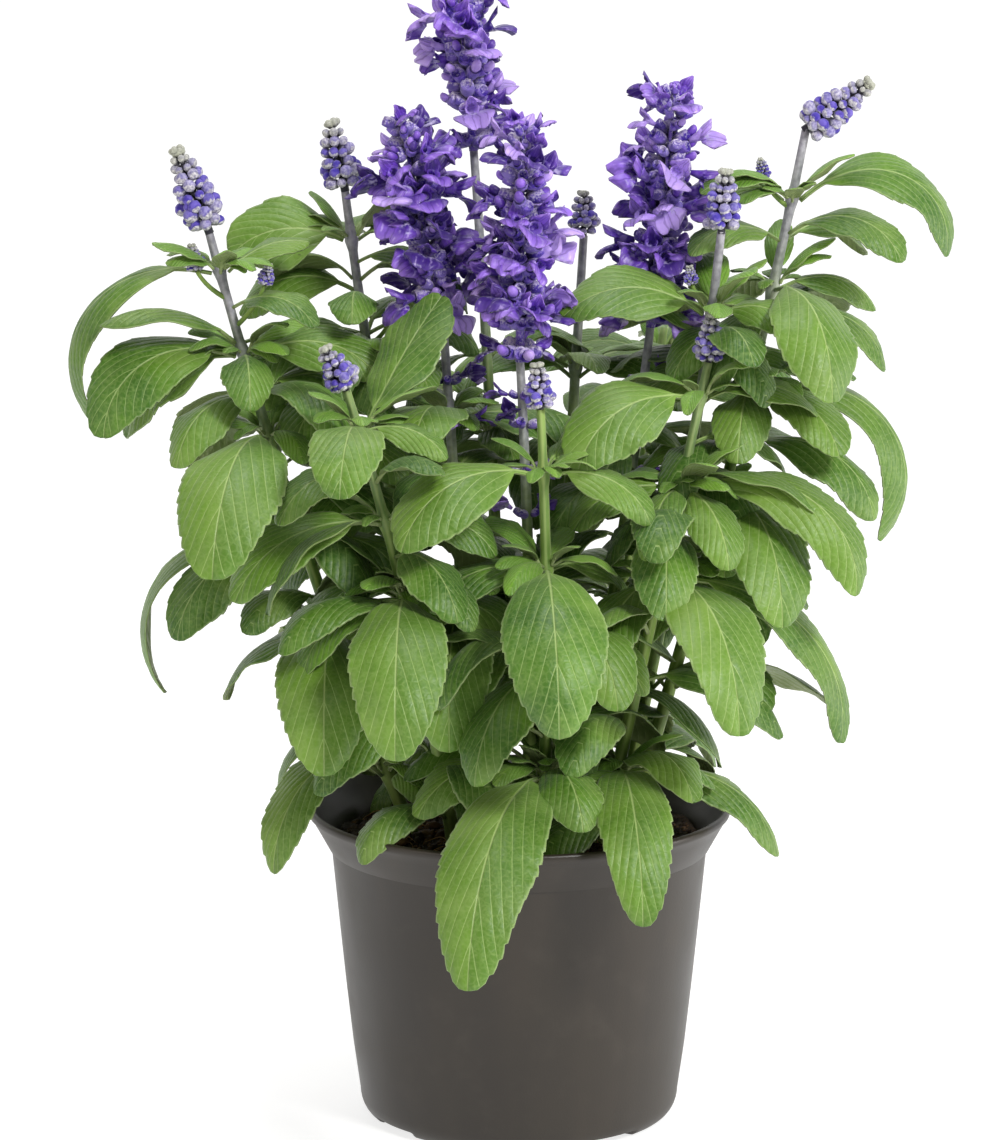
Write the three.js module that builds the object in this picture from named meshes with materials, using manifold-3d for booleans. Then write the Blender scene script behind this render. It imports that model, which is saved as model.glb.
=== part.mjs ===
// Potted mealycup sage, in millimetres, +Z up and with its front on -Y.
// The origin is the centre of the pot's base, on the surface that the pot stands on.
// Fourteen square stems stand in the potting soil. Each stem carries whorls of leaves, and
// twelve of them end in a flower spike or in a spike of closed buds.

import * as THREE from 'three';
import { mergeVertices } from 'three/addons/utils/BufferGeometryUtils.js';
import Module from 'manifold-3d';

const POT_HEIGHT = 97;
const RIM_RADIUS = 65;
const RIM_BAND = 13;
const RIM_LIP = 2;
const RIM_THICKNESS = 1.7;
const BAND_STEP = 0.8;
const BODY_TOP_RADIUS = 57.8;
const BODY_FOOT_RADIUS = 49.4;
const POT_WALL = 1.5;
const CORNER_HEIGHT = 7;
const FOOT_RADIUS = 45;
const FOOT_RING_WIDTH = 3.4;
const FOOT_HEIGHT = 2.6;
const MOULD_DRAFT = 0.8;
const FOOT_GAP_WIDTH = 18;
const FOOT_GAP_ANGLES = [-54, 36, 126, 216];
const CENTRE_PAD_RADIUS = 9;
const DRAIN_HOLES = 6;
const DRAIN_RADIUS = 3;
const DRAIN_CIRCLE = 31;
const SOIL_TOP = 87;
const SOIL_MOUND = 3;
const SOIL_FLOOR_RADIUS = 43.4;
const GAP = 0.3;

const STEM_FOOT = 66;
const STEM_FOOT_RADIUS = 2.1;
const STEM_TOP_RADIUS = 1.3;
const STEM_SQUARENESS = 0.08;
const SPIKE_FOOT_SHARE = 0.45;
const SPIKE_WAIST = 0.72;
const COLLAR_WALL = 1.1;
const COLLAR_HEIGHT = 2.4;
const PETIOLE_SHARE = 0.14;
const PETIOLE_HALF_WIDTH = 0.9;
const LEAF_THICKNESS = 1.1;
const LEAF_FALL_OFF = 0.16;
const LEAF_TIP_HALF_WIDTH = 0.4;
const BLADE_SKEW = 0.88;
const BLADE_FULLNESS = 0.68;
const DROOP_POWER = 1.25;
const MIDRIB_STATIONS = 24;

// Each stem: where it leaves the root ball, where it ends, and how far its middle bows out.
const STEMS = {
  a: { foot: [-24, -4], top: [-93, -8, 275], bow: [-4, 0] },
  b: { foot: [-14, 9], top: [-53, 15, 285], bow: [-3, 0] },
  c: { foot: [-5, 17], top: [-14, 28, 296], bow: [2, 0] },
  d: { foot: [-11, -6], top: [-23, -2, 246], bow: [0, 0] },
  e: { foot: [2, -10], top: [0, -20, 238], bow: [2, 0] },
  f: { foot: [8, 22], top: [20, 38, 268], bow: [0, 2] },
  g: { foot: [12, 6], top: [40, 12, 244], bow: [2, 0] },
  h: { foot: [25, 12], top: [60, -12, 275], bow: [4, 2] },
  i: { foot: [26, -1], top: [86, 5, 304], bow: [4, 0] },
  j: { foot: [-17, -21], top: [-51, -38, 231], bow: [4, -2] },
  k: { foot: [6, -26], top: [6, -42, 226], bow: [2, -2] },
  l: { foot: [20, -16], top: [56, -22, 237], bow: [0, -3] },
  m: { foot: [-17, 25], top: [-50, 58, 226], bow: [0, 2] },
  n: { foot: [19, 32], top: [46, 62, 236], bow: [0, 2] },
};

// Each spike: the stem it ends, whether it is in flower, its lean from foot to tip and its radius.
const SPIKES = {
  a: { flowering: false, reach: [-10, 0, 27], radius: 7.8 },
  b: { flowering: false, reach: [-5, 0, 25], radius: 7.4 },
  c: { flowering: true, reach: [-5, 2, 56], radius: 15 },
  d: { flowering: true, reach: [-13, -2, 64], radius: 16 },
  e: { flowering: true, reach: [1, -2, 70], radius: 16 },
  f: { flowering: false, reach: [0, 1, 14], radius: 5.6 },
  g: { flowering: true, reach: [7, 1, 76], radius: 17 },
  h: { flowering: false, reach: [1, 0, 21], radius: 6.6 },
  i: { flowering: false, reach: [21, 0, 15], radius: 7.4 },
  j: { flowering: false, reach: [-7, -1, 14], radius: 6.4 },
  k: { flowering: false, reach: [-1, 0, 15], radius: 5.6 },
  l: { flowering: false, reach: [1, 0, 16], radius: 5.6 },
};

// Each whorl: its stem, its place along the stem from 0 at the foot to 1 at the top, and its
// leaves as [compass angle, length, width, rise, droop, lean]: 0 points to +X and -90 to the
// front, the leaf leaves the stem at the rise angle and bends down by the droop angle over its
// length, and a leaf to either side leans its upper face to the front by the lean angle.
const WHORLS = [
  { stem: 'a', at: 0.94, leaves: [
    [180, 82, 20, 12, 150, 15], [10, 28, 12, 45, 60, 15], [-80, 16, 8, 50, 40, 0]] },
  { stem: 'a', at: 0.82, leaves: [
    [-155, 58, 26, 22, 112, 25], [172, 48, 24, 0, 85, 40], [-8, 44, 18, 28, 85, 35],
    [-82, 34, 16, 15, 90, 0]] },
  { stem: 'a', at: 0.7, leaves: [
    [-101, 82, 32, 18, 100, 0], [120, 52, 22, 25, 100, 0], [-12, 46, 18, 20, 85, 30]] },
  { stem: 'a', at: 0.55, leaves: [
    [178, 86, 22, 14, 148, 12], [-150, 54, 23, 5, 90, 25], [-35, 44, 19, 20, 85, 20],
    [75, 50, 20, 20, 100, 0]] },
  { stem: 'a', at: 0.4, leaves: [
    [-93, 82, 30, 25, 108, 0], [170, 44, 18, 10, 95, 20], [60, 46, 20, 20, 90, 0],
    [-40, 38, 17, 15, 85, 15]] },
  { stem: 'a', at: 0.2, leaves: [
    [-122, 76, 20, 38, 128, 15], [175, 40, 11, 30, 110, 10], [100, 44, 18, 20, 80, 0]] },
  { stem: 'b', at: 0.93, leaves: [
    [182, 38, 26, 25, 75, 45], [35, 30, 14, 30, 60, 0], [100, 30, 14, 30, 80, 0]] },
  { stem: 'b', at: 0.76, leaves: [
    [-165, 44, 20, 15, 85, 30], [-58, 38, 18, 30, 85, 10], [110, 44, 20, 20, 90, 0],
    [-88, 38, 18, 20, 90, 0]] },
  { stem: 'c', at: 0.62, leaves: [
    [60, 48, 20, 30, 90, 0], [150, 48, 20, 30, 90, 0], [-80, 34, 15, 30, 80, 0],
    [-140, 38, 17, 20, 85, 10]] },
  { stem: 'd', at: 0.84, leaves: [
    [-104, 46, 24, 35, 85, 0], [4, 40, 18, 20, 85, 20], [120, 40, 18, 20, 80, 0]] },
  { stem: 'd', at: 0.52, leaves: [
    [-95, 76, 26, 15, 98, 0], [-150, 50, 20, 10, 90, 20], [35, 46, 20, 20, 90, 20]] },
  { stem: 'e', at: 0.5, leaves: [
    [-35, 46, 20, 20, 85, 15], [-130, 46, 20, 10, 95, 10], [60, 40, 18, 20, 80, 0]] },
  { stem: 'f', at: 0.8, leaves: [
    [15, 46, 20, 30, 80, 20], [160, 42, 18, 30, 80, 20], [-80, 32, 14, 40, 80, 0]] },
  { stem: 'g', at: 0.72, leaves: [
    [42, 50, 22, 25, 90, 10], [96, 46, 20, 30, 90, 0], [-125, 42, 18, 25, 85, 10]] },
  { stem: 'h', at: 0.88, leaves: [
    [-168, 48, 23, 38, 85, 45], [-28, 30, 16, 30, 90, 30], [60, 36, 16, 30, 90, 0]] },
  { stem: 'i', at: 0.91, leaves: [
    [4, 66, 21, 42, 145, 35], [176, 28, 12, 40, 80, 30], [-90, 14, 6, 40, 40, 0]] },
  { stem: 'i', at: 0.8, leaves: [
    [-72, 64, 26, 15, 105, 5], [110, 46, 19, 20, 90, 0], [15, 36, 14, 25, 90, 20]] },
  { stem: 'i', at: 0.67, leaves: [
    [0, 84, 20, 15, 152, 15], [-45, 42, 20, 10, 80, 15], [-176, 36, 17, 30, 80, 30],
    [-98, 40, 18, 10, 90, 0]] },
  { stem: 'i', at: 0.53, leaves: [
    [-72, 70, 27, 15, 100, 5], [25, 52, 22, 20, 100, 15], [148, 40, 18, 10, 80, 10],
    [-90, 40, 17, 10, 95, 0]] },
  { stem: 'j', at: 0.93, leaves: [
    [38, 48, 24, 60, 20, 0], [-95, 46, 22, 25, 105, 0], [-25, 30, 13, 20, 80, 20]] },
  { stem: 'j', at: 0.76, leaves: [
    [-160, 54, 22, 10, 80, 30], [-10, 36, 16, 20, 85, 30]] },
  { stem: 'j', at: 0.62, leaves: [
    [-92, 80, 29, 15, 106, 0], [150, 40, 18, 20, 80, 20], [-20, 40, 18, 15, 85, 20],
    [-150, 42, 18, 5, 85, 15]] },
  { stem: 'k', at: 0.88, leaves: [
    [-150, 56, 26, 18, 92, 40], [30, 34, 15, 55, 60, 30], [-20, 38, 15, 15, 85, 25]] },
  { stem: 'k', at: 0.7, leaves: [
    [-88, 80, 31, 12, 104, 0], [32, 32, 15, 15, 80, 25], [-168, 38, 16, 15, 80, 30]] },
  { stem: 'k', at: 0.3, leaves: [
    [-107, 102, 30, 12, 95, 0], [-38, 31, 15, 15, 60, 15], [-155, 46, 18, 30, 100, 25],
    [-75, 44, 19, 35, 110, 0]] },
  { stem: 'l', at: 0.94, leaves: [
    [-150, 50, 26, 15, 90, 40], [8, 38, 15, 25, 80, 30]] },
  { stem: 'l', at: 0.78, leaves: [
    [-22, 74, 21, 24, 120, 25], [-165, 36, 16, 15, 80, 30], [-110, 38, 15, 10, 95, 0],
    [-66, 40, 17, 5, 85, 10]] },
  { stem: 'l', at: 0.62, leaves: [
    [-70, 80, 28, 15, 105, 0], [0, 84, 20, 0, 100, 20], [-120, 50, 20, 5, 90, 5]] },
  { stem: 'l', at: 0.27, leaves: [
    [-86, 82, 22, 22, 112, 0], [-56, 46, 21, 50, 120, 10], [-14, 60, 17, 15, 95, 20]] },
  { stem: 'm', at: 0.96, leaves: [
    [100, 50, 22, 35, 95, 0], [-160, 50, 22, 25, 100, 20], [0, 42, 18, 30, 90, 10]] },
  { stem: 'n', at: 0.95, leaves: [
    [80, 52, 23, 35, 100, 0], [12, 54, 22, 25, 100, 20], [170, 40, 18, 30, 90, 20]] },
  { stem: 'n', at: 0.5, leaves: [
    [60, 60, 25, 20, 100, 0], [150, 56, 24, 20, 100, 0], [-30, 56, 22, 20, 95, 10],
    [-92, 48, 20, 10, 90, 0]] },
];

const wasm = await Module();
wasm.setup();

const DEGREE = Math.PI / 180;
const UP = new THREE.Vector3(0, 0, 1);

// The solid inside a closed surface.
function toSolid(geometry) {
  const shell = geometry.clone();
  shell.deleteAttribute('normal');
  shell.deleteAttribute('uv');
  const merged = mergeVertices(shell, 1e-4);
  const corners = Array.from(merged.index.array);
  const triVerts = [];
  for (let k = 0; k < corners.length; k += 3) {
    const [p, q, r] = corners.slice(k, k + 3);
    if (p !== q && q !== r && r !== p) triVerts.push(p, q, r);
  }
  const mesh = new wasm.Mesh({
    numProp: 3,
    vertProperties: new Float32Array(merged.attributes.position.array),
    triVerts: new Uint32Array(triVerts),
  });
  return new wasm.Manifold(mesh);
}

// The surface of a solid, ready for a mesh.
function toGeometry(solid) {
  const { vertProperties, triVerts } = solid.getMesh();
  const geometry = new THREE.BufferGeometry();
  geometry.setAttribute('position', new THREE.BufferAttribute(vertProperties, 3));
  geometry.setIndex(new THREE.BufferAttribute(triVerts, 1));
  geometry.computeVertexNormals();
  return geometry;
}

// A closed skin with its vertices placed by a rule: place(turn, along) gives the point at an angle
// round the skin and a share of its length, and hub(along) the middle of an end.
function sweep(sides, steps, place, hub) {
  const geometry = new THREE.CylinderGeometry(1, 1, 1, sides, steps);
  const point = geometry.attributes.position;
  for (let k = 0; k < point.count; k += 1) {
    const [x, y, z] = [point.getX(k), point.getY(k), point.getZ(k)];
    const along = y + 0.5;
    const inMiddle = Math.hypot(x, z) < 0.5;
    const spot = inMiddle ? hub(along) : place(Math.atan2(-z, x), along);
    point.setXYZ(k, spot.x, spot.y, spot.z);
  }
  return toSolid(geometry);
}

function lathe(outline, segments) {
  const points = outline.map(([r, z]) => new THREE.Vector2(r, z));
  const geometry = new THREE.LatheGeometry(points, segments);
  geometry.rotateX(Math.PI / 2);
  return toSolid(geometry);
}

// One moulded pot: a tapered wall, a flared rim band, and a raised floor on a ring of feet
// round a flat centre pad.
function makePot() {
  const bandFoot = POT_HEIGHT - RIM_BAND;
  const floorTop = FOOT_HEIGHT + POT_WALL;
  const cornerDepth = BODY_FOOT_RADIUS - FOOT_RADIUS;
  const corner = [30, 60, 90].map((angle) => [
    FOOT_RADIUS + cornerDepth * Math.sin(angle * DEGREE),
    CORNER_HEIGHT * (1 - Math.cos(angle * DEGREE)),
  ]);
  const outline = [
    [0, 0], [CENTRE_PAD_RADIUS, 0], [CENTRE_PAD_RADIUS + MOULD_DRAFT, FOOT_HEIGHT],
    [FOOT_RADIUS - FOOT_RING_WIDTH - MOULD_DRAFT, FOOT_HEIGHT],
    [FOOT_RADIUS - FOOT_RING_WIDTH, 0], [FOOT_RADIUS, 0], ...corner,
    [BODY_TOP_RADIUS, bandFoot], [BODY_TOP_RADIUS + BAND_STEP, bandFoot],
    [RIM_RADIUS - MOULD_DRAFT, POT_HEIGHT - RIM_LIP - MOULD_DRAFT],
    [RIM_RADIUS, POT_HEIGHT - RIM_LIP], [RIM_RADIUS, POT_HEIGHT - 0.5],
    [RIM_RADIUS - 0.5, POT_HEIGHT], [RIM_RADIUS - RIM_THICKNESS, POT_HEIGHT],
    [RIM_RADIUS - RIM_THICKNESS - MOULD_DRAFT, POT_HEIGHT - RIM_LIP - MOULD_DRAFT],
    [BODY_TOP_RADIUS - POT_WALL, bandFoot],
    [BODY_FOOT_RADIUS - POT_WALL, CORNER_HEIGHT + MOULD_DRAFT],
    [FOOT_RADIUS - MOULD_DRAFT, floorTop], [0, floorTop],
  ];
  let pot = lathe(outline, 32);
  for (const angle of FOOT_GAP_ANGLES) pot = pot.subtract(footGap(angle));
  for (let k = 0; k < DRAIN_HOLES; k += 1) pot = pot.subtract(drainHole(k));
  return pot;
}

function footGap(angle) {
  const gap = new THREE.BoxGeometry(14, FOOT_GAP_WIDTH, 2 * FOOT_HEIGHT - 0.6);
  gap.translate(FOOT_RADIUS + 1.6, 0, 0);
  gap.rotateZ(angle * DEGREE);
  return toSolid(gap);
}

function drainHole(number) {
  const hole = new THREE.CylinderGeometry(DRAIN_RADIUS, DRAIN_RADIUS, 4 * FOOT_HEIGHT, 10);
  hole.rotateX(Math.PI / 2);
  const angle = ((number + 0.5) * 2 * Math.PI) / DRAIN_HOLES;
  hole.translate(DRAIN_CIRCLE * Math.cos(angle), DRAIN_CIRCLE * Math.sin(angle), FOOT_HEIGHT);
  return toSolid(hole);
}

// The space that the rim keeps to itself, for trimming the leaves that hang over it.
function makeRimGuard() {
  const bandFoot = POT_HEIGHT - RIM_BAND;
  const room = 0.5;
  const inside = RIM_THICKNESS + room;
  return lathe([
    [BODY_FOOT_RADIUS + room, 0], [BODY_TOP_RADIUS + BAND_STEP + room, bandFoot - room],
    [RIM_RADIUS + room, POT_HEIGHT - RIM_LIP - room], [RIM_RADIUS + room, POT_HEIGHT + room],
    [RIM_RADIUS - inside, POT_HEIGHT + room], [BODY_TOP_RADIUS - inside, bandFoot],
    [BODY_FOOT_RADIUS - inside, 0], [BODY_FOOT_RADIUS + room, 0],
  ], 28);
}

// Soil fills the pot to just under the rim band's top, low at the wall and mounded at the stems.
function makeSoil(stemGuards) {
  const inset = POT_WALL + 0.4;
  const foot = FOOT_HEIGHT + POT_WALL + GAP;
  const shoulder = POT_HEIGHT - RIM_BAND - 0.4;
  const outline = [
    [0, foot], [SOIL_FLOOR_RADIUS, foot],
    [BODY_FOOT_RADIUS - inset, CORNER_HEIGHT + 2 * MOULD_DRAFT],
    [BODY_TOP_RADIUS - inset, shoulder], [BODY_TOP_RADIUS - 1.2, SOIL_TOP - 1],
    [0.93 * BODY_TOP_RADIUS, SOIL_TOP], [0.72 * BODY_TOP_RADIUS, SOIL_TOP + 0.2 * SOIL_MOUND],
    [0.5 * BODY_TOP_RADIUS, SOIL_TOP + 0.6 * SOIL_MOUND],
    [0.25 * BODY_TOP_RADIUS, SOIL_TOP + SOIL_MOUND], [0, SOIL_TOP + SOIL_MOUND],
  ];
  let soil = lathe(outline, 16);
  for (const guard of stemGuards) soil = soil.subtract(guard);
  return soil;
}

// The middle of a stem at a share of its length.
function stemPoint(stem, along) {
  const { foot, top, bow } = STEMS[stem];
  const swell = 4 * along * (1 - along);
  return new THREE.Vector3(
    THREE.MathUtils.lerp(foot[0], top[0], along) + bow[0] * swell,
    THREE.MathUtils.lerp(foot[1], top[1], along) + bow[1] * swell,
    THREE.MathUtils.lerp(STEM_FOOT, top[2], along),
  );
}

function stemDirection(stem, along) {
  const step = 0.01;
  const ahead = stemPoint(stem, along + step);
  return ahead.sub(stemPoint(stem, along - step)).normalize();
}

function stemRadius(along) {
  return THREE.MathUtils.lerp(STEM_FOOT_RADIUS, STEM_TOP_RADIUS, along);
}

// A square stem with softened corners, thinner towards the top.
function makeStem(stem, growth) {
  const place = (turn, along) => {
    const squareness = 1 + STEM_SQUARENESS * Math.cos(4 * turn);
    const radius = stemRadius(along) * squareness + growth;
    return new THREE.Vector3(radius * Math.cos(turn), radius * Math.sin(turn), 0)
      .add(stemPoint(stem, along));
  };
  return sweep(8, 5, place, (along) => stemPoint(stem, along));
}

// A spike is a stack of flower whorls round the end of the stem, each whorl a bulge.
function makeSpike(name, growth) {
  const { flowering, reach, radius } = SPIKES[name];
  const axis = new THREE.Vector3(...reach);
  const foot = stemPoint(name, 1).addScaledVector(axis.clone().normalize(), GAP - growth);
  const turned = new THREE.Quaternion().setFromUnitVectors(UP, axis.clone().normalize());
  const tiers = flowering ? 6 : 3;
  const steps = 2 * tiers;
  const place = (turn, along) => {
    const rounding = Math.sqrt(1.02 - 0.9 * along * along);
    const taper = Math.min(1, SPIKE_FOOT_SHARE + 2.2 * along) * rounding;
    const bulge = Math.round(along * steps) % 2 ? 1 : SPIKE_WAIST;
    const size = radius * taper * bulge + growth;
    return new THREE.Vector3(size * Math.cos(turn), size * Math.sin(turn), 0)
      .applyQuaternion(turned)
      .addScaledVector(axis, along)
      .add(foot);
  };
  const hub = (along) => foot.clone().addScaledVector(axis, along);
  return sweep(8, steps, place, hub);
}

// The collar's flats keep clear of the stem's corners.
function collarBore(whorl) {
  return (stemRadius(whorl.at) * (1 + STEM_SQUARENESS) + 1.5 * GAP) / Math.cos(30 * DEGREE);
}

// The midrib of a leaf as a list of points and directions, from its stem outwards.
function midrib(whorl, leaf) {
  const [compass, length, , rise, droop, lean] = leaf;
  const reach = collarBore(whorl) + 0.4 * COLLAR_WALL;
  const start = stemPoint(whorl.stem, whorl.at);
  start.x += reach * Math.cos(compass * DEGREE);
  start.y += reach * Math.sin(compass * DEGREE);
  const heading = compass * DEGREE;
  const line = [];
  for (let k = 0; k <= MIDRIB_STATIONS; k += 1) {
    const slope = (rise - droop * Math.pow(k / MIDRIB_STATIONS, DROOP_POWER)) * DEGREE;
    const ahead = new THREE.Vector3(
      Math.cos(slope) * Math.cos(heading),
      Math.cos(slope) * Math.sin(heading),
      Math.sin(slope),
    );
    const side = new THREE.Vector3(-Math.sin(heading), Math.cos(heading), 0);
    side.applyAxisAngle(ahead, lean * Math.cos(heading) * DEGREE);
    const up = new THREE.Vector3().crossVectors(ahead, side);
    line.push({ point: start.clone(), side, up });
    start.addScaledVector(ahead, length / MIDRIB_STATIONS);
  }
  return line;
}

// Half the width of a leaf at a share of its length: a thin stalk, then a lance-shaped blade.
function halfWidth(width, share) {
  if (share < PETIOLE_SHARE) return PETIOLE_HALF_WIDTH;
  const blade = (share - PETIOLE_SHARE) / (1 - PETIOLE_SHARE);
  const lobe = Math.max(0, Math.sin(Math.PI * Math.pow(blade, BLADE_SKEW)));
  const shape = Math.pow(lobe, BLADE_FULLNESS);
  return Math.max(PETIOLE_HALF_WIDTH, 0.5 * width * shape);
}

// A leaf is a thin blade with its two halves sloping down from the midrib.
function makeLeaf(whorl, leaf, growth) {
  const line = midrib(whorl, leaf);
  const stops = [0, 4, 8, 13, 18, 22, MIDRIB_STATIONS];
  const thickness = (share) => LEAF_THICKNESS * (1.25 - 0.8 * share) + 2 * growth;
  const place = (turn, along) => {
    const station = stops[Math.round(along * (stops.length - 1))];
    const share = station / MIDRIB_STATIONS;
    const { point, side, up } = line[station];
    const half = share === 1 ? LEAF_TIP_HALF_WIDTH : halfWidth(leaf[2], share);
    const across = Math.cos(turn) * (half + growth);
    const fall = LEAF_FALL_OFF * Math.abs(Math.cos(turn)) * half;
    return point.clone()
      .addScaledVector(side, across)
      .addScaledVector(up, 0.5 * thickness(share) * Math.sin(turn) - fall);
  };
  const hub = (along) => line[Math.round(along) * MIDRIB_STATIONS].point.clone();
  return sweep(4, stops.length - 1, place, hub);
}

// The six-sided ring round a stem from which the leaves of one whorl grow.
function makeCollar(whorl) {
  const inner = collarBore(whorl);
  const outer = inner + COLLAR_WALL;
  const low = -0.5 * COLLAR_HEIGHT;
  const high = 0.5 * COLLAR_HEIGHT;
  const points = [[inner, low], [outer, low], [outer, high], [inner, high], [inner, low]];
  const geometry = new THREE.LatheGeometry(points.map(([r, z]) => new THREE.Vector2(r, z)), 6);
  geometry.rotateX(Math.PI / 2);
  const direction = stemDirection(whorl.stem, whorl.at);
  geometry.applyQuaternion(new THREE.Quaternion().setFromUnitVectors(UP, direction));
  geometry.translate(...stemPoint(whorl.stem, whorl.at).toArray());
  return toSolid(geometry);
}

function apart(first, second) {
  const [p, q] = [first.boundingBox(), second.boundingBox()];
  return [0, 1, 2].some((k) => p.max[k] < q.min[k] || q.max[k] < p.min[k]);
}

// A whorl is its collar and leaves joined, less the room that its neighbours take up.
function makeWhorl(whorl, neighbours) {
  let solid = makeCollar(whorl);
  for (const leaf of whorl.leaves) solid = solid.add(makeLeaf(whorl, leaf, 0));
  for (const neighbour of neighbours) {
    if (!apart(solid, neighbour)) solid = solid.subtract(neighbour);
  }
  const pieces = solid.decompose();
  return pieces.reduce((kept, piece) => (piece.volume() > kept.volume() ? piece : kept));
}

function makeWhorlGuard(whorl) {
  let guard = makeLeaf(whorl, whorl.leaves[0], GAP);
  for (const leaf of whorl.leaves.slice(1)) guard = guard.add(makeLeaf(whorl, leaf, GAP));
  return guard;
}

const POT_PLASTIC = { color: 0x47423e, roughness: 0.55, metalness: 0 };
const SOIL = { color: 0x2a201a, roughness: 1, metalness: 0 };
const STEM = { color: 0x7d9c4e, roughness: 0.6, metalness: 0 };
const LEAF = { color: 0x5f8a3a, roughness: 0.55, metalness: 0 };
const PETAL = { color: 0x5238b5, roughness: 0.7, metalness: 0 };
const BUD = { color: 0x9a93bd, roughness: 0.8, metalness: 0 };

const group = new THREE.Group();

function addMesh(name, solid, look) {
  const mesh = new THREE.Mesh(toGeometry(solid), new THREE.MeshStandardMaterial(look));
  mesh.name = name;
  group.add(mesh);
}

const stemNames = Object.keys(STEMS);
const stemGuards = stemNames.map((stem) => makeStem(stem, GAP));
const spikeGuards = Object.keys(SPIKES).map((spike) => makeSpike(spike, GAP));

// A stem ends in a socket that fits round the foot of its own spike.
function trimmedStem(stem) {
  const solid = makeStem(stem, 0);
  const spike = Object.keys(SPIKES).indexOf(stem);
  return spike < 0 ? solid : solid.subtract(spikeGuards[spike]);
}

addMesh('pot', makePot(), POT_PLASTIC);
addMesh('potting_soil', makeSoil(stemGuards), SOIL);
for (const stem of stemNames) addMesh(`stem_${stem}`, trimmedStem(stem), STEM);
for (const [spike, { flowering }] of Object.entries(SPIKES)) {
  const name = flowering ? `flower_spike_${spike}` : `bud_spike_${spike}`;
  addMesh(name, makeSpike(spike, 0), flowering ? PETAL : BUD);
}

const neighbours = [makeRimGuard(), ...stemGuards, ...spikeGuards];
const count = {};
for (const whorl of WHORLS) {
  count[whorl.stem] = (count[whorl.stem] ?? 0) + 1;
  addMesh(`leaf_whorl_${whorl.stem}${count[whorl.stem]}`, makeWhorl(whorl, neighbours), LEAF);
  neighbours.push(makeWhorlGuard(whorl));
}

export default group;
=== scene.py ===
"""Potted mealycup sage: fourteen leafy stems with their flowers, in a grey nursery pot."""

import math
import random

import bpy
import numpy as np
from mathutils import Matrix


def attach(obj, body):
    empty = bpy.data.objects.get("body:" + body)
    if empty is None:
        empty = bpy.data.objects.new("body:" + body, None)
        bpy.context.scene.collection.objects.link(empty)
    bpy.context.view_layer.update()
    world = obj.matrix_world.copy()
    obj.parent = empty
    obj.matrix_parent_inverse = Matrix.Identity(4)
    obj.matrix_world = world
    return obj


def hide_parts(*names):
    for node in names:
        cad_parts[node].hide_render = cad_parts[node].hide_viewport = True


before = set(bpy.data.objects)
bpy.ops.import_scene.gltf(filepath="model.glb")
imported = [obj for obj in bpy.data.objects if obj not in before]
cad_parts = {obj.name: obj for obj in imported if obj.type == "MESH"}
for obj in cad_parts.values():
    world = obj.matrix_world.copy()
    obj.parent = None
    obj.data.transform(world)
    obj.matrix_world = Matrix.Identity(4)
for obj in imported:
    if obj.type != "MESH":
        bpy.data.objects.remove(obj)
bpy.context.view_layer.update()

# ---------------------------------------------------------------------------------------------
# The pot is a thin nursery pot, moulded in one shot from dark grey polypropylene. Its wall widens
# upwards to a band under the rolled rim. It stands on a ring foot with four gaps, which let the
# water run out from the six drain holes in its floor.

MM = 0.001
POT_SIDES = 288
POT_FLOOR = 4.1
FOOT_LIFT = 2.3
FOOT_INNER_RADIUS = 41
FOOT_GAP_HALF_ANGLE = 11.5
FOOT_GAP_ANGLES = [-54, 36, 126, 216]
CORNER_FOOT_RADIUS = 45
CORNER_REACH = 4.4
CORNER_HEIGHT = 7
DRAIN_HOLES = 6
DRAIN_RADIUS = 3
DRAIN_CIRCLE = 31
DRILL_SIDES = 24
SHARP_EDGE = 38


def colour(code):
    """The linear colour, with alpha, of a code such as #4A4642."""
    shares = [int(code[k:k + 2], 16) / 255 for k in (1, 3, 5)]
    return (*[s / 12.92 if s < 0.04045 else ((s + 0.055) / 1.055) ** 2.4 for s in shares], 1)


class Shape:
    """The points, faces and paint values of one piece, in millimetres."""

    def __init__(self):
        self.count = 0
        self.points = []
        self.faces = []
        self.coats = []
        self.place = []
        self.tone = []

    def add(self, points, faces, coat=0, place=(0, 0, 0), tone=(0, 0, 0)):
        """Take in a closed skin. Each paint value is one triple, or one triple a point."""
        self.points.append(points)
        self.place.append(np.broadcast_to(place, points.shape))
        self.tone.append(np.broadcast_to(tone, points.shape))
        self.faces.extend([[self.count + corner for corner in face] for face in faces])
        self.coats.extend([coat] * len(faces))
        self.count += len(points)

    def make(self, name, *materials):
        """The Blender object of the whole piece, smooth, with its paint values stored."""
        mesh = bpy.data.meshes.new(name)
        mesh.from_pydata((np.concatenate(self.points) * MM).tolist(), [], self.faces)
        mesh.polygons.foreach_set("material_index", self.coats)
        mesh.polygons.foreach_set("use_smooth", [True] * len(self.faces))
        for label, values in (("place", self.place), ("tone", self.tone)):
            layer = mesh.attributes.new(label, "FLOAT_VECTOR", "POINT")
            layer.data.foreach_set("vector", np.concatenate(values).astype(np.float32).ravel())
        for material in materials:
            mesh.materials.append(material)
        piece = bpy.data.objects.new(name, mesh)
        bpy.context.scene.collection.objects.link(piece)
        return piece


def skin(rings):
    """Points and faces of a closed skin through rings of points, with a pole at each end."""
    rings = np.asarray(rings, float)
    count, sides = rings.shape[:2]
    points = np.concatenate([[rings[0].mean(0)], rings.reshape(-1, 3), [rings[-1].mean(0)]])
    last = len(points) - 1
    faces = []
    for j in range(sides):
        k = (j + 1) % sides
        faces.append((0, 1 + k, 1 + j))
        for first in range(1, last - sides, sides):
            faces.append((first + j, first + k, first + sides + k, first + sides + j))
        faces.append((last - sides + j, last - sides + k, last))
    return points, faces


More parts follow.
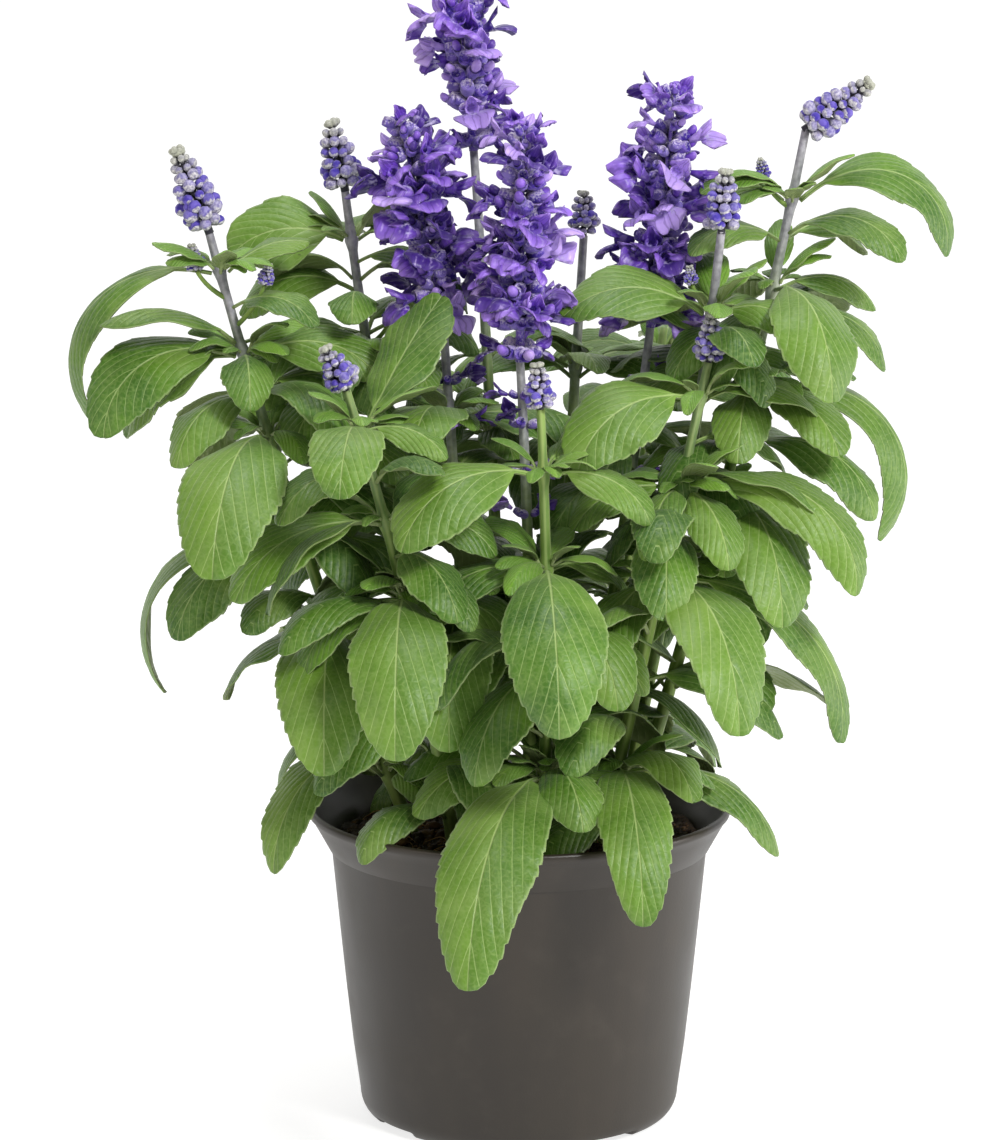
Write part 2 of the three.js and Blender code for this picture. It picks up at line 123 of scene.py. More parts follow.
def turned(outline, sides):
    """The rings that an outline of radii and heights makes when it is turned about Z."""
    turns = np.arange(sides) * 2 * np.pi / sides
    flat = np.stack([np.cos(turns), np.sin(turns), np.zeros(sides)], 1)
    return np.array([radius * flat + (0, 0, height) for radius, height in outline])


def node(tree, kind, sockets=None, **options):
    """Add a node, set its options, fill its sockets and give its first active output."""
    added = tree.nodes.new(kind)
    for option, choice in options.items():
        setattr(added, option, choice)
    for socket, value in (sockets or {}).items():
        if isinstance(value, bpy.types.NodeSocket):
            tree.links.new(value, added.inputs[socket])
        else:
            added.inputs[socket].default_value = value
    return next(output for output in added.outputs if output.enabled)


def sums(tree, operation, first, second=0.0):
    """Arithmetic on one or two numbers."""
    return node(tree, "ShaderNodeMath", {0: first, 1: second}, operation=operation)


def fade(tree, value, low, high, start=0.0, end=1.0):
    """Ease from start to end as the value goes from low to high."""
    limits = {0: value, 1: low, 2: high, 3: start, 4: end}
    return node(tree, "ShaderNodeMapRange", limits, interpolation_type="SMOOTHSTEP")


def blend(tree, share, first, second):
    """The second colour laid over the first by a share from 0 to 1."""
    return node(tree, "ShaderNodeMix", {0: share, 6: first, 7: second}, data_type="RGBA")


def object_place(tree, stretch=(1, 1, 1)):
    """The place on the object in metres, stretched along its axes."""
    coordinates = tree.nodes.new("ShaderNodeTexCoord")
    return node(tree, "ShaderNodeMapping", {0: coordinates.outputs["Object"], 3: stretch})


def noise(tree, scale, detail=3.0, stretch=(1, 1, 1)):
    """Cloudy noise with so many cells to the metre."""
    sockets = {"Vector": object_place(tree, stretch), "Scale": scale, "Detail": detail}
    return node(tree, "ShaderNodeTexNoise", sockets)


def bump(tree, height, depth, strength=1.0, under=None):
    """A normal that follows a height from 0 to 1, so many millimetres deep."""
    sockets = {"Height": height, "Distance": depth * MM, "Strength": strength}
    if under is not None:
        sockets["Normal"] = under
    return node(tree, "ShaderNodeBump", sockets)


def painted(name, paint, **finish):
    """A material whose nodes are wired by paint, with its constant finish set first."""
    material = bpy.data.materials.new(name)
    material.use_nodes = True
    shader = material.node_tree.nodes["Principled BSDF"]
    for socket, value in finish.items():
        shader.inputs[socket.replace("_", " ")].default_value = value
    for socket, output in paint(material.node_tree).items():
        material.node_tree.links.new(output, shader.inputs[socket])
    return material


def corner_arc():
    """The rounded foot corner of the pot as radii and heights."""
    turns = np.radians(np.linspace(0, 90, 9))
    radii = CORNER_FOOT_RADIUS + CORNER_REACH * np.sin(turns)
    return list(zip(radii, CORNER_HEIGHT * (1 - np.cos(turns))))


def pot_paint(tree):
    """Dark warm grey plastic: faint clouds, draw lines down the wall, dust and fine grain."""
    clouds = noise(tree, 28, 4)
    lines = noise(tree, 60, 3, (1, 1, 0.04))
    grain = noise(tree, 1600, 2)
    base = blend(tree, fade(tree, clouds, 0.3, 0.7), colour("#28221B"), colour("#2E2820"))
    lined = blend(tree, fade(tree, lines, 0.45, 0.75, 0, 0.35), base, colour("#383026"))
    dust = sums(tree, "MULTIPLY", fade(tree, noise(tree, 90, 7), 0.5, 0.8), 0.12)
    dusty = blend(tree, dust, lined, colour("#5C554D"))
    rough = sums(tree, "ADD", fade(tree, clouds, 0.2, 0.8, 0.36, 0.48), sums(tree, "MULTIPLY", dust, 0.5))
    relief = bump(tree, grain, 0.05, 0.5, bump(tree, lines, 0.12, 0.5))
    return {"Base Color": dusty, "Roughness": rough, "Normal": relief}


pot_outline = [
    (8.6, 0), (9, 0.4), (9.8, 2.6), (40.8, 2.6), (41.3, 0.4), (41.8, 0), *corner_arc(),
    (51.5, 22), (53.6, 41), (55.7, 62), (57.8, 83.6), (57.9, 84), (58.5, 84.1), (58.8, 84.5),
    (60.7, 88), (62.7, 91.6), (64.1, 94.1), (64.9, 94.8), (65, 95.3), (65, 96.1), (64.8, 96.6),
    (64.4, 96.9), (63.9, 97), (63.3, 96.8), (63, 96.4), (62.5, 94.2), (59.5, 89.2), (56.3, 84),
    (52.2, 46), (47.9, 7.8), (46.9, 5.4), (44.2, POT_FLOOR), (20, POT_FLOOR), (8, POT_FLOOR)]
pot_rings = turned(pot_outline, POT_SIDES)
for angle in FOOT_GAP_ANGLES:
    compass = np.degrees(np.arctan2(pot_rings[..., 1], pot_rings[..., 0]))
    off = np.abs((compass - angle + 180) % 360 - 180)
    radius = np.hypot(pot_rings[..., 0], pot_rings[..., 1])
    gap = (off < FOOT_GAP_HALF_ANGLE) & (radius > FOOT_INNER_RADIUS)
    pot_rings[..., 2] = np.where(gap, np.maximum(pot_rings[..., 2], FOOT_LIFT), pot_rings[..., 2])

drills = Shape()
for k in range(DRAIN_HOLES):
    turn = 2 * math.pi * k / DRAIN_HOLES
    hole = turned([(DRAIN_RADIUS, -2), (DRAIN_RADIUS, POT_FLOOR + 2)], DRILL_SIDES)
    drills.add(*skin(hole + (DRAIN_CIRCLE * math.cos(turn), DRAIN_CIRCLE * math.sin(turn), 0)))
drill = drills.make("drain_drill")
blank = Shape()
blank.add(*skin(pot_rings))
pot = blank.make("nursery_pot", painted("pot_plastic", pot_paint, Specular_IOR_Level=0.5))
cut = pot.modifiers.new("drain_holes", "BOOLEAN")
cut.object = drill
cut.solver = "EXACT"
drilled = bpy.data.meshes.new_from_object(pot.evaluated_get(bpy.context.evaluated_depsgraph_get()))
pot.modifiers.clear()
pot.data = drilled
pot.data.set_sharp_from_angle(angle=math.radians(SHARP_EDGE))
bpy.data.objects.remove(drill)
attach(pot, "root")
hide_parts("pot")

# ---------------------------------------------------------------------------------------------
# The pot is filled with potting soil to a finger's width under its rim: dark peat with bark
# crumbs, and tan coir fibres that lie on top. It is pressed down by hand round the stems.

SOIL_SIDES = 160
SOIL_TOP = 87
SOIL_EDGE_RADIUS = 56.6
SOIL_MOUND = 3
RIPPLE_WAVES = 9
LITTER_RADIUS = 54.5
CRUMBS = 1200
CRUMB_SIDES = 5
LARGE_CRUMBS = 0.12
FIBRES = 130
FIBRE_STEPS = 8
FIBRE_SIDES = 5


def ripples(x, y, seed, scale):
    """A smooth random height, mostly between -1 and 1, as a sum of waves."""
    draw = random.Random(seed)
    height = np.zeros_like(x)
    for _ in range(RIPPLE_WAVES):
        turn = draw.uniform(0, 2 * math.pi)
        pitch = scale * draw.uniform(0.6, 1.9)
        way = x * math.cos(turn) + y * math.sin(turn)
        height += np.sin(way / pitch * 2 * math.pi + draw.uniform(0, 6.3))
    return height / math.sqrt(RIPPLE_WAVES)


def soil_height(x, y):
    """The height of the soil's surface over the pot's foot."""
    radius = np.hypot(x, y)
    mound = SOIL_TOP + SOIL_MOUND * np.clip(1 - radius / SOIL_EDGE_RADIUS, 0, 1)
    return mound - 0.5 + 0.75 * ripples(x, y, "hollows", 17) + 0.45 * ripples(x, y, "clods", 6)


def soil_paint(tree):
    """Damp peat, almost black in its hollows, with browner and greyer grains."""
    cells = node(tree, "ShaderNodeTexVoronoi", {"Vector": object_place(tree), "Scale": 700.0})
    grains = noise(tree, 900, 6)
    base = blend(tree, fade(tree, noise(tree, 120, 5), 0.35, 0.65), colour("#1B130D"), colour("#3A2A1E"))
    grainy = blend(tree, fade(tree, grains, 0.5, 0.72, 0, 0.8), base, colour("#5B4532"))
    relief = bump(tree, grains, 0.9, 0.9, bump(tree, cells, 0.8, 0.8))
    return {"Base Color": grainy, "Roughness": fade(tree, grains, 0.3, 0.7, 0.75, 0.95), "Normal": relief}


def tone_part(tree, axis, label="tone"):
    """One of the three numbers of a piece's tone or place."""
    stored = node(tree, "ShaderNodeAttribute", attribute_name=label).node.outputs["Vector"]
    return node(tree, "ShaderNodeSeparateXYZ", {0: stored}).node.outputs[axis]


def bark_paint(tree):
    """Bark and peat crumbs, each one its own brown."""
    streaks = noise(tree, 700, 5, (1, 1, 0.4))
    brown = blend(tree, tone_part(tree, 0), colour("#1E140D"), colour("#6A4B31"))
    streaked = blend(tree, fade(tree, streaks, 0.45, 0.7, 0, 0.5), brown, colour("#8A6747"))
    return {"Base Color": streaked, "Roughness": fade(tree, streaks, 0.3, 0.7, 0.7, 0.92),
            "Normal": bump(tree, streaks, 0.3, 0.8)}


def fibre_paint(tree):
    """Dry coir fibres, straw coloured, browner here and there."""
    spots = noise(tree, 260, 3)
    straw = blend(tree, fade(tree, spots, 0.4, 0.65), colour("#C09A6A"), colour("#76522F"))
    return {"Base Color": straw, "Roughness": fade(tree, spots, 0.3, 0.7, 0.6, 0.85),
            "Normal": bump(tree, noise(tree, 3000), 0.05)}


top_radii = np.linspace(56.2, 1.2, 44)
soil_outline = [(20, 4.4), (43.4, 4.4), (47.5, 8.6), (51.6, 46), (55.9, 83.6)]
soil_rings = turned(soil_outline + [(radius, SOIL_TOP) for radius in top_radii], SOIL_SIDES)
tops = soil_rings[len(soil_outline):]
tops[..., 2] = soil_height(tops[..., 0], tops[..., 1])
soil_body = Shape()
soil_body.add(*skin(soil_rings))
soil = soil_body.make("potting_soil_fill", painted("peat", soil_paint))
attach(soil, "root")
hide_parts("potting_soil")

crumb_draw = random.Random("crumbs")
crumb_heap = Shape()
for _ in range(CRUMBS):
    turn = crumb_draw.uniform(0, 2 * math.pi)
    radius = LITTER_RADIUS * math.sqrt(crumb_draw.random())
    size = crumb_draw.uniform(0.5, 1.2) * (2.6 if crumb_draw.random() < LARGE_CRUMBS else 1)
    lump = turned([(0.55, -0.7), (1, -0.1), (0.6, 0.7)], CRUMB_SIDES)
    lump *= [size * crumb_draw.uniform(0.7, 1.5), size * crumb_draw.uniform(0.6, 1.1), size * 0.7]
    lump *= 1 + 0.25 * np.sin(17 * lump + crumb_draw.uniform(0, 9))
    spin = crumb_draw.uniform(0, 2 * math.pi)
    flat = lump[..., 0] + 1j * lump[..., 1]
    flat *= complex(math.cos(spin), math.sin(spin))
    x, y = radius * math.cos(turn), radius * math.sin(turn)
    spot = np.array([x, y, soil_height(x, y) + 0.2 * size])
    lump = np.stack([flat.real, flat.imag, lump[..., 2] + 0.3 * flat.real], -1)
    crumb_heap.add(*skin(lump + spot), tone=(crumb_draw.random() ** 2, 0, 0))
crumbs = crumb_heap.make("bark_crumbs", painted("bark", bark_paint))
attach(crumbs, "root")


def tube(points, radii, sides, corners=0.0):
    """Rings of a tube along a line of points. Corners above 0 make its section squarish."""
    points = np.asarray(points, float)
    ahead = np.gradient(points, axis=0)
    ahead /= np.linalg.norm(ahead, axis=1, keepdims=True)
    start = np.array([0, 1, 0]) if abs(ahead[0, 1]) < 0.9 else np.array([1, 0, 0])
    rings = []
    for point, way, radius in zip(points, ahead, radii):
        across = np.cross(start, way)
        across /= np.linalg.norm(across)
        start = np.cross(way, across)
        turns = np.arange(sides)[:, None] * 2 * np.pi / sides
        reach = radius * (1 + corners * np.cos(4 * turns))
        rings.append(point + reach * (np.cos(turns) * across + np.sin(turns) * start))
    return np.array(rings)


fibre_draw = random.Random("coir")
fibre_mat = Shape()
for _ in range(FIBRES):
    turn = fibre_draw.uniform(0, 2 * math.pi)
    if fibre_draw.random() < 0.35:
        turn = math.radians(fibre_draw.uniform(215, 250))
    radius = fibre_draw.uniform(24, 51)
    heading = fibre_draw.uniform(0, 2 * math.pi)
    curl = fibre_draw.uniform(-0.25, 0.25)
    length = fibre_draw.uniform(5, 15)
    x, y = radius * math.cos(turn), radius * math.sin(turn)
    line = []
    for step in range(FIBRE_STEPS + 1):
        line.append((x, y, soil_height(x, y) + 0.5 + 1.1 * math.sin(0.39 * step)))
        heading += curl
        x += length / FIBRE_STEPS * math.cos(heading)
        y += length / FIBRE_STEPS * math.sin(heading)
    if max(math.hypot(x, y) for x, y, _ in line) < LITTER_RADIUS:
        thick = fibre_draw.uniform(0.12, 0.3)
        fibre_mat.add(*skin(tube(line, np.linspace(thick, 0.4 * thick, FIBRE_STEPS + 1), FIBRE_SIDES)))
fibres = fibre_mat.make("coir_fibres", painted("coir", fibre_paint))
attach(fibres, "root")

# ---------------------------------------------------------------------------------------------
# Fourteen soft square stems stand in the soil, light green below. Towards a flower they turn
# greyish violet under a mealy bloom. They grow in joints, with a swollen knot at each leaf whorl.

STEM_FOOT = 66
STEM_FOOT_RADIUS = 2.1
STEM_TOP_RADIUS = 1.3
STEM_SIDES = 16
STEM_STEPS = 70
STEM_SQUARENESS = 0.09
KNOT_SWELL = 0.75
KNOT_HALF_HEIGHT = 2.4

# For each stem its foot on the soil's plan, its top, how far it bows out at mid height, and how
# violet it turns at its top.
STEMS = {
    "a": ((-24, -4), (-93, -8, 275), (-4, 0), 0.9),
    "b": ((-14, 9), (-53, 15, 285), (-3, 0), 0.9),
    "c": ((-5, 17), (-14, 28, 296), (2, 0), 0.8),
    "d": ((-11, -6), (-23, -2, 246), (0, 0), 0.8),
    "e": ((2, -10), (0, -20, 238), (2, 0), 0.8),
    "f": ((8, 22), (20, 38, 268), (0, 2), 0.8),
    "g": ((12, 6), (40, 12, 244), (2, 0), 0.8),
    "h": ((25, 12), (60, -12, 275), (4, 2), 0.9),
    "i": ((26, -1), (86, 5, 304), (4, 0), 0.9),
    "j": ((-17, -21), (-51, -38, 231), (4, -2), 0.15),
    "k": ((6, -26), (6, -42, 226), (2, -2), 0.05),
    "l": ((20, -16), (56, -22, 237), (0, -3), 0.15),
    "m": ((-17, 25), (-50, 58, 226), (0, 2), 0.1),
    "n": ((19, 32), (46, 62, 236), (0, 2), 0.1),
}

# The heights of the leaf whorls on each stem, as shares of its length, with their leaves. Each
# leaf has its compass direction, length, width, rise, droop and lean, in millimetres and degrees.
WHORLS = [
    ("a", 0.94, [
        (180, 82, 20, 12, 150, 15), (10, 28, 12, 45, 60, 15), (-80, 16, 8, 50, 40, 0)]),
    ("a", 0.82, [
        (-155, 58, 26, 22, 112, 25), (172, 48, 24, 0, 85, 40), (-8, 44, 18, 28, 85, 35),
        (-82, 34, 16, 15, 90, 0)]),
    ("a", 0.7, [
        (-101, 82, 32, 18, 100, 0), (120, 52, 22, 25, 100, 0), (-12, 46, 18, 20, 85, 30)]),
    ("a", 0.55, [
        (178, 86, 22, 14, 148, 12), (-150, 54, 23, 5, 90, 25), (-35, 44, 19, 20, 85, 20),
        (75, 50, 20, 20, 100, 0)]),
    ("a", 0.4, [
        (-93, 82, 30, 25, 108, 0), (170, 44, 18, 10, 95, 20), (60, 46, 20, 20, 90, 0),
        (-40, 38, 17, 15, 85, 15)]),
    ("a", 0.2, [
        (-122, 76, 20, 38, 128, 15), (175, 40, 11, 30, 110, 10), (100, 44, 18, 20, 80, 0)]),
    ("b", 0.93, [
        (182, 38, 26, 25, 75, 45), (35, 30, 14, 30, 60, 0), (100, 30, 14, 30, 80, 0)]),
    ("b", 0.76, [
        (-165, 44, 20, 15, 85, 30), (-58, 38, 18, 30, 85, 10), (110, 44, 20, 20, 90, 0),
        (-88, 38, 18, 20, 90, 0)]),
    ("c", 0.62, [
        (60, 48, 20, 30, 90, 0), (150, 48, 20, 30, 90, 0), (-80, 34, 15, 30, 80, 0),
        (-140, 38, 17, 20, 85, 10)]),
    ("d", 0.84, [
        (-104, 46, 24, 35, 85, 0), (4, 40, 18, 20, 85, 20), (120, 40, 18, 20, 80, 0)]),
    ("d", 0.52, [
        (-95, 76, 26, 15, 98, 0), (-150, 50, 20, 10, 90, 20), (35, 46, 20, 20, 90, 20)]),
    ("e", 0.5, [
        (-35, 46, 20, 20, 85, 15), (-130, 46, 20, 10, 95, 10), (60, 40, 18, 20, 80, 0)]),
    ("f", 0.8, [
        (15, 46, 20, 30, 80, 20), (160, 42, 18, 30, 80, 20), (-80, 32, 14, 40, 80, 0)]),
    ("g", 0.72, [
        (42, 50, 22, 25, 90, 10), (96, 46, 20, 30, 90, 0), (-125, 42, 18, 25, 85, 10)]),
    ("h", 0.88, [
        (-168, 48, 23, 38, 85, 45), (-28, 30, 16, 30, 90, 30), (60, 36, 16, 30, 90, 0)]),
    ("i", 0.91, [
        (4, 66, 21, 42, 145, 35), (176, 28, 12, 40, 80, 30), (-90, 14, 6, 40, 40, 0)]),
    ("i", 0.8, [
        (-72, 64, 26, 15, 105, 5), (110, 46, 19, 20, 90, 0), (15, 36, 14, 25, 90, 20)]),
    ("i", 0.67, [
        (0, 84, 20, 15, 152, 15), (-45, 42, 20, 10, 80, 15), (-176, 36, 17, 30, 80, 30),
        (-98, 40, 18, 10, 90, 0)]),
    ("i", 0.53, [
        (-72, 70, 27, 15, 100, 5), (25, 52, 22, 20, 100, 15), (148, 40, 18, 10, 80, 10),
        (-90, 40, 17, 10, 95, 0)]),
    ("j", 0.93, [
        (38, 48, 24, 60, 20, 0), (-95, 46, 22, 25, 105, 0), (-25, 30, 13, 20, 80, 20)]),
    ("j", 0.76, [
        (-160, 54, 22, 10, 80, 30), (-10, 36, 16, 20, 85, 30)]),
    ("j", 0.62, [
        (-92, 80, 29, 15, 106, 0), (150, 40, 18, 20, 80, 20), (-20, 40, 18, 15, 85, 20),
        (-150, 42, 18, 5, 85, 15)]),
    ("k", 0.88, [
        (-150, 56, 26, 18, 92, 40), (30, 34, 15, 55, 60, 30), (-20, 38, 15, 15, 85, 25)]),
    ("k", 0.7, [
        (-88, 80, 31, 12, 104, 0), (32, 32, 15, 15, 80, 25), (-168, 38, 16, 15, 80, 30)]),
    ("k", 0.3, [
        (-107, 102, 30, 12, 95, 0), (-38, 31, 15, 15, 60, 15), (-155, 46, 18, 30, 100, 25),
        (-75, 44, 19, 35, 110, 0)]),
    ("l", 0.94, [
        (-150, 50, 26, 15, 90, 40), (8, 38, 15, 25, 80, 30)]),
    ("l", 0.78, [
        (-22, 74, 21, 24, 120, 25), (-165, 36, 16, 15, 80, 30), (-110, 38, 15, 10, 95, 0),
        (-66, 40, 17, 5, 85, 10)]),
    ("l", 0.62, [
        (-70, 80, 28, 15, 105, 0), (0, 84, 20, 0, 100, 20), (-120, 50, 20, 5, 90, 5)]),
    ("l", 0.27, [
        (-86, 82, 22, 22, 112, 0), (-56, 46, 21, 50, 120, 10), (-14, 60, 17, 15, 95, 20)]),
    ("m", 0.96, [
        (100, 50, 22, 35, 95, 0), (-160, 50, 22, 25, 100, 20), (0, 42, 18, 30, 90, 10)]),
    ("n", 0.95, [
        (80, 52, 23, 35, 100, 0), (12, 54, 22, 25, 100, 20), (170, 40, 18, 30, 90, 20)]),
    ("n", 0.5, [
        (60, 60, 25, 20, 100, 0), (150, 56, 24, 20, 100, 0), (-30, 56, 22, 20, 95, 10),
        (-92, 48, 20, 10, 90, 0)]),
]


def stem_point(stem, share):
    """The middle of a stem at a share of its length."""
    foot, top, bow, _ = STEMS[stem]
    swell = 4 * share * (1 - share)
    return np.array([
        foot[0] + (top[0] - foot[0]) * share + bow[0] * swell,
        foot[1] + (top[1] - foot[1]) * share + bow[1] * swell,
        STEM_FOOT + (top[2] - STEM_FOOT) * share])


def stem_radius(share):
    """The radius of a stem at a share of its length, between the knots."""
    return STEM_FOOT_RADIUS + (STEM_TOP_RADIUS - STEM_FOOT_RADIUS) * share - 0.15 * share ** 3


def stem_paint(tree):
    """Light green skin with paler ridges, and a grey violet bloom towards the flowers."""
    along, violet, ridge = (tone_part(tree, axis) for axis in range(3))
    streaks = noise(tree, 420, 4, (1, 1, 0.08))
    green = blend(tree, fade(tree, streaks, 0.35, 0.65), colour("#648636"), colour("#88A54A"))
    pale = blend(tree, fade(tree, along, 0.0, 0.5, 0.55, 0), green, colour("#8B9C56"))
    ridged = blend(tree, fade(tree, ridge, 0.3, 1, 0, 0.45), pale, colour("#AFC076"))
    reach = sums(tree, "MULTIPLY", violet, fade(tree, along, 0.62, 0.92))
    mealy = blend(tree, fade(tree, noise(tree, 500, 5), 0.3, 0.7), colour("#8E889A"), colour("#B9B4C2"))
    both = blend(tree, reach, ridged, mealy)
    relief = bump(tree, noise(tree, 2600, 2), 0.08, 0.6, bump(tree, streaks, 0.15, 0.5))
    return {"Base Color": both, "Roughness": fade(tree, streaks, 0.3, 0.7, 0.45, 0.62), "Normal": relief}


stem_skin = painted("stem_skin", stem_paint, Specular_IOR_Level=0.35, Sheen_Weight=0.15)
for stem, (_, _, _, violet) in STEMS.items():
    shares = np.linspace(0, 1, STEM_STEPS)
    length = np.linalg.norm(stem_point(stem, 1) - stem_point(stem, 0))
    radii = stem_radius(shares)
    for grown_on, at, _ in WHORLS:
        if grown_on == stem:
            radii = radii + KNOT_SWELL * np.exp(-((shares - at) * length / KNOT_HALF_HEIGHT) ** 2)
    line = [stem_point(stem, share) for share in shares]
    points, faces = skin(tube(line, radii, STEM_SIDES, STEM_SQUARENESS))
    turns = np.tile(np.arange(STEM_SIDES), STEM_STEPS) * 2 * np.pi / STEM_SIDES
    paint = np.zeros((len(points), 3))
    paint[1:-1, 0] = np.repeat(shares, STEM_SIDES)
    paint[-1, 0] = 1
    paint[:, 1] = violet
    paint[1:-1, 2] = 0.5 + 0.5 * np.cos(4 * turns)
    grown = Shape()
    grown.add(points, faces, tone=paint)
    piece = grown.make(f"sage_stem_{stem}", stem_skin)
    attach(piece, "root")
    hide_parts(f"stem_{stem}")

# ---------------------------------------------------------------------------------------------
# The leaves grow from the knots in whorls: green lances with a pale midrib, side veins that run
# far forward, and shallow teeth. Their undersides are grey green. Small young leaves stand in the
# corners between leaf and stem.

PETIOLE_SHARE = 0.14
PETIOLE_HALF_WIDTH = 0.9
BLADE_SKEW = 0.93
BASE_FULLNESS = 0.62
TIP_FULLNESS = 0.44
DROOP_POWER = 1.25
LEAF_START = 1.0
SIDE_VEINS = 6
VEIN_SWEEP = 0.8
TOOTH_PITCH = 5.6
TOOTH_STEPS = [0, 0.5, 0.9]
TOOTH_OUTLINE = [-0.6, 0.1, 0.4]
STALK_STEPS = [0, 0.3, 0.62, 0.88]
YOUNG_LEAF_WIDTH = 12
YOUNG_LEAF_OUT = 1.8
YOUNG_LEAF_ABOVE = 1.2
YOUNG_TONE = 2
INNER_SHADE = 1
ACROSS = np.array([-1, -0.92, -0.72, -0.44, -0.14, 0, 0.14, 0.44, 0.72, 0.92, 1])
ACROSS_INNER = np.array([-1, -0.88, -0.6, -0.3, -0.1, 0.1, 0.3, 0.6, 0.88, 1])
ACROSS_YOUNG = np.array([-1, -0.84, -0.5, -0.14, 0.14, 0.5, 0.84, 1])


def sheet_faces(rows, columns):
    """Faces of a thin closed sheet: an upper grid, a lower grid and the edge between them."""
    low = rows * columns
    faces = []
    for left in range(0, low - columns, columns):
        right = left + columns - 1
        for near in range(left, right):
            far = near + columns
            faces.append((near, far, far + 1, near + 1))
            faces.append((low + near, low + near + 1, low + far + 1, low + far))
        faces.append((left, low + left, low + left + columns, left + columns))
        faces.append((right + columns, low + right + columns, low + right, right))
    for near in range(columns - 1):
        far = low - columns + near
        faces.append((near + 1, low + near + 1, low + near, near))
        faces.append((far, low + far, low + far + 1, far + 1))
    return faces


def leaf_line(start, compass, length, rise, droop, lean, share, twist, veer):
    """Points of a leaf's midrib, with the directions across the leaf and up from it."""
    slope = np.radians(rise - droop * share ** DROOP_POWER)
    heading = math.radians(compass) + veer * share ** 2
    ahead = np.stack([np.cos(slope) * np.cos(heading), np.cos(slope) * np.sin(heading), np.sin(slope)], 1)
    steps = 0.5 * (ahead[1:] + ahead[:-1]) * np.diff(share)[:, None] * length
    points = start + np.concatenate([[[0, 0, 0]], np.cumsum(steps, 0)])
    level = np.stack([-np.sin(heading), np.cos(heading), 0 * heading], 1)
    raised = np.cross(ahead, level)
    roll = (math.radians(lean) * math.cos(math.radians(compass)) + twist * share)[:, None]
    side = level * np.cos(roll) + raised * np.sin(roll)
    return points, side, np.cross(ahead, side)


def beside_stem(stem, share, compass, out, above=0):
    """A point beside a stem, so far out from its middle and so far above it."""
    turn = math.radians(compass)
    return stem_point(stem, share) + np.array([out * math.cos(turn), out * math.sin(turn), above])


def tooth_cuts(teeth, draw):
    """How far each row of one edge stands in or out, with teeth of random size."""
    sizes = [draw.uniform(0.2, 1) for _ in range(teeth)]
    rows = [np.zeros(len(STALK_STEPS)), np.outer(sizes, TOOTH_OUTLINE).ravel(), [0]]
    return np.concatenate(rows)[:, None]


def leaf_height(blade, columns, across, half, vein, size, draw):
    """The height of a leaf over its midrib. It falls away to its sides, swells between the side
    veins, sinks along the midrib and ripples at its rim."""
    grown = np.clip(blade * 12, 0, 1)[:, None]
    edge = np.abs(columns)
    fall = draw.uniform(0.15, 0.5)
    waves = [draw.uniform(1.3, 2.6) for _ in range(2)]
    starts = [draw.uniform(0, 6.3) for _ in range(2)]
    edge_waves = [np.sin(waves[k] * 6.3 * blade + starts[k])[:, None] for k in range(2)]
    height = -fall * half[:, None] * edge ** 1.15
    height += grown * size * 0.36 * np.abs(np.sin(np.pi * vein)) * edge ** 0.5 * (1 - edge ** 4)
    height -= grown * size * 0.8 * np.exp(-(across / (1.5 * size)) ** 2)
    height += grown * size * 1.1 * np.where(columns < 0, *edge_waves) * edge ** 2.5
    return height


def leaf_thickness(blade, columns, across, width):
    """The thickness of a leaf: thin, with a keel under the midrib that runs out of a round stalk."""
    grown = np.clip(blade * 12, 0, 1)[:, None]
    size = width / 30
    keel = np.exp(-(across / (1.1 * min(1, size + 0.2))) ** 2) * (1 - 0.85 * blade[:, None])
    round_stalk = 1.35 * np.sqrt(1 - 0.92 * np.abs(columns) ** 2)[None, :] * min(1, 0.5 + width / 50)
    return grown * (0.34 + 0.85 * size * keel) + (1 - grown) * round_stalk


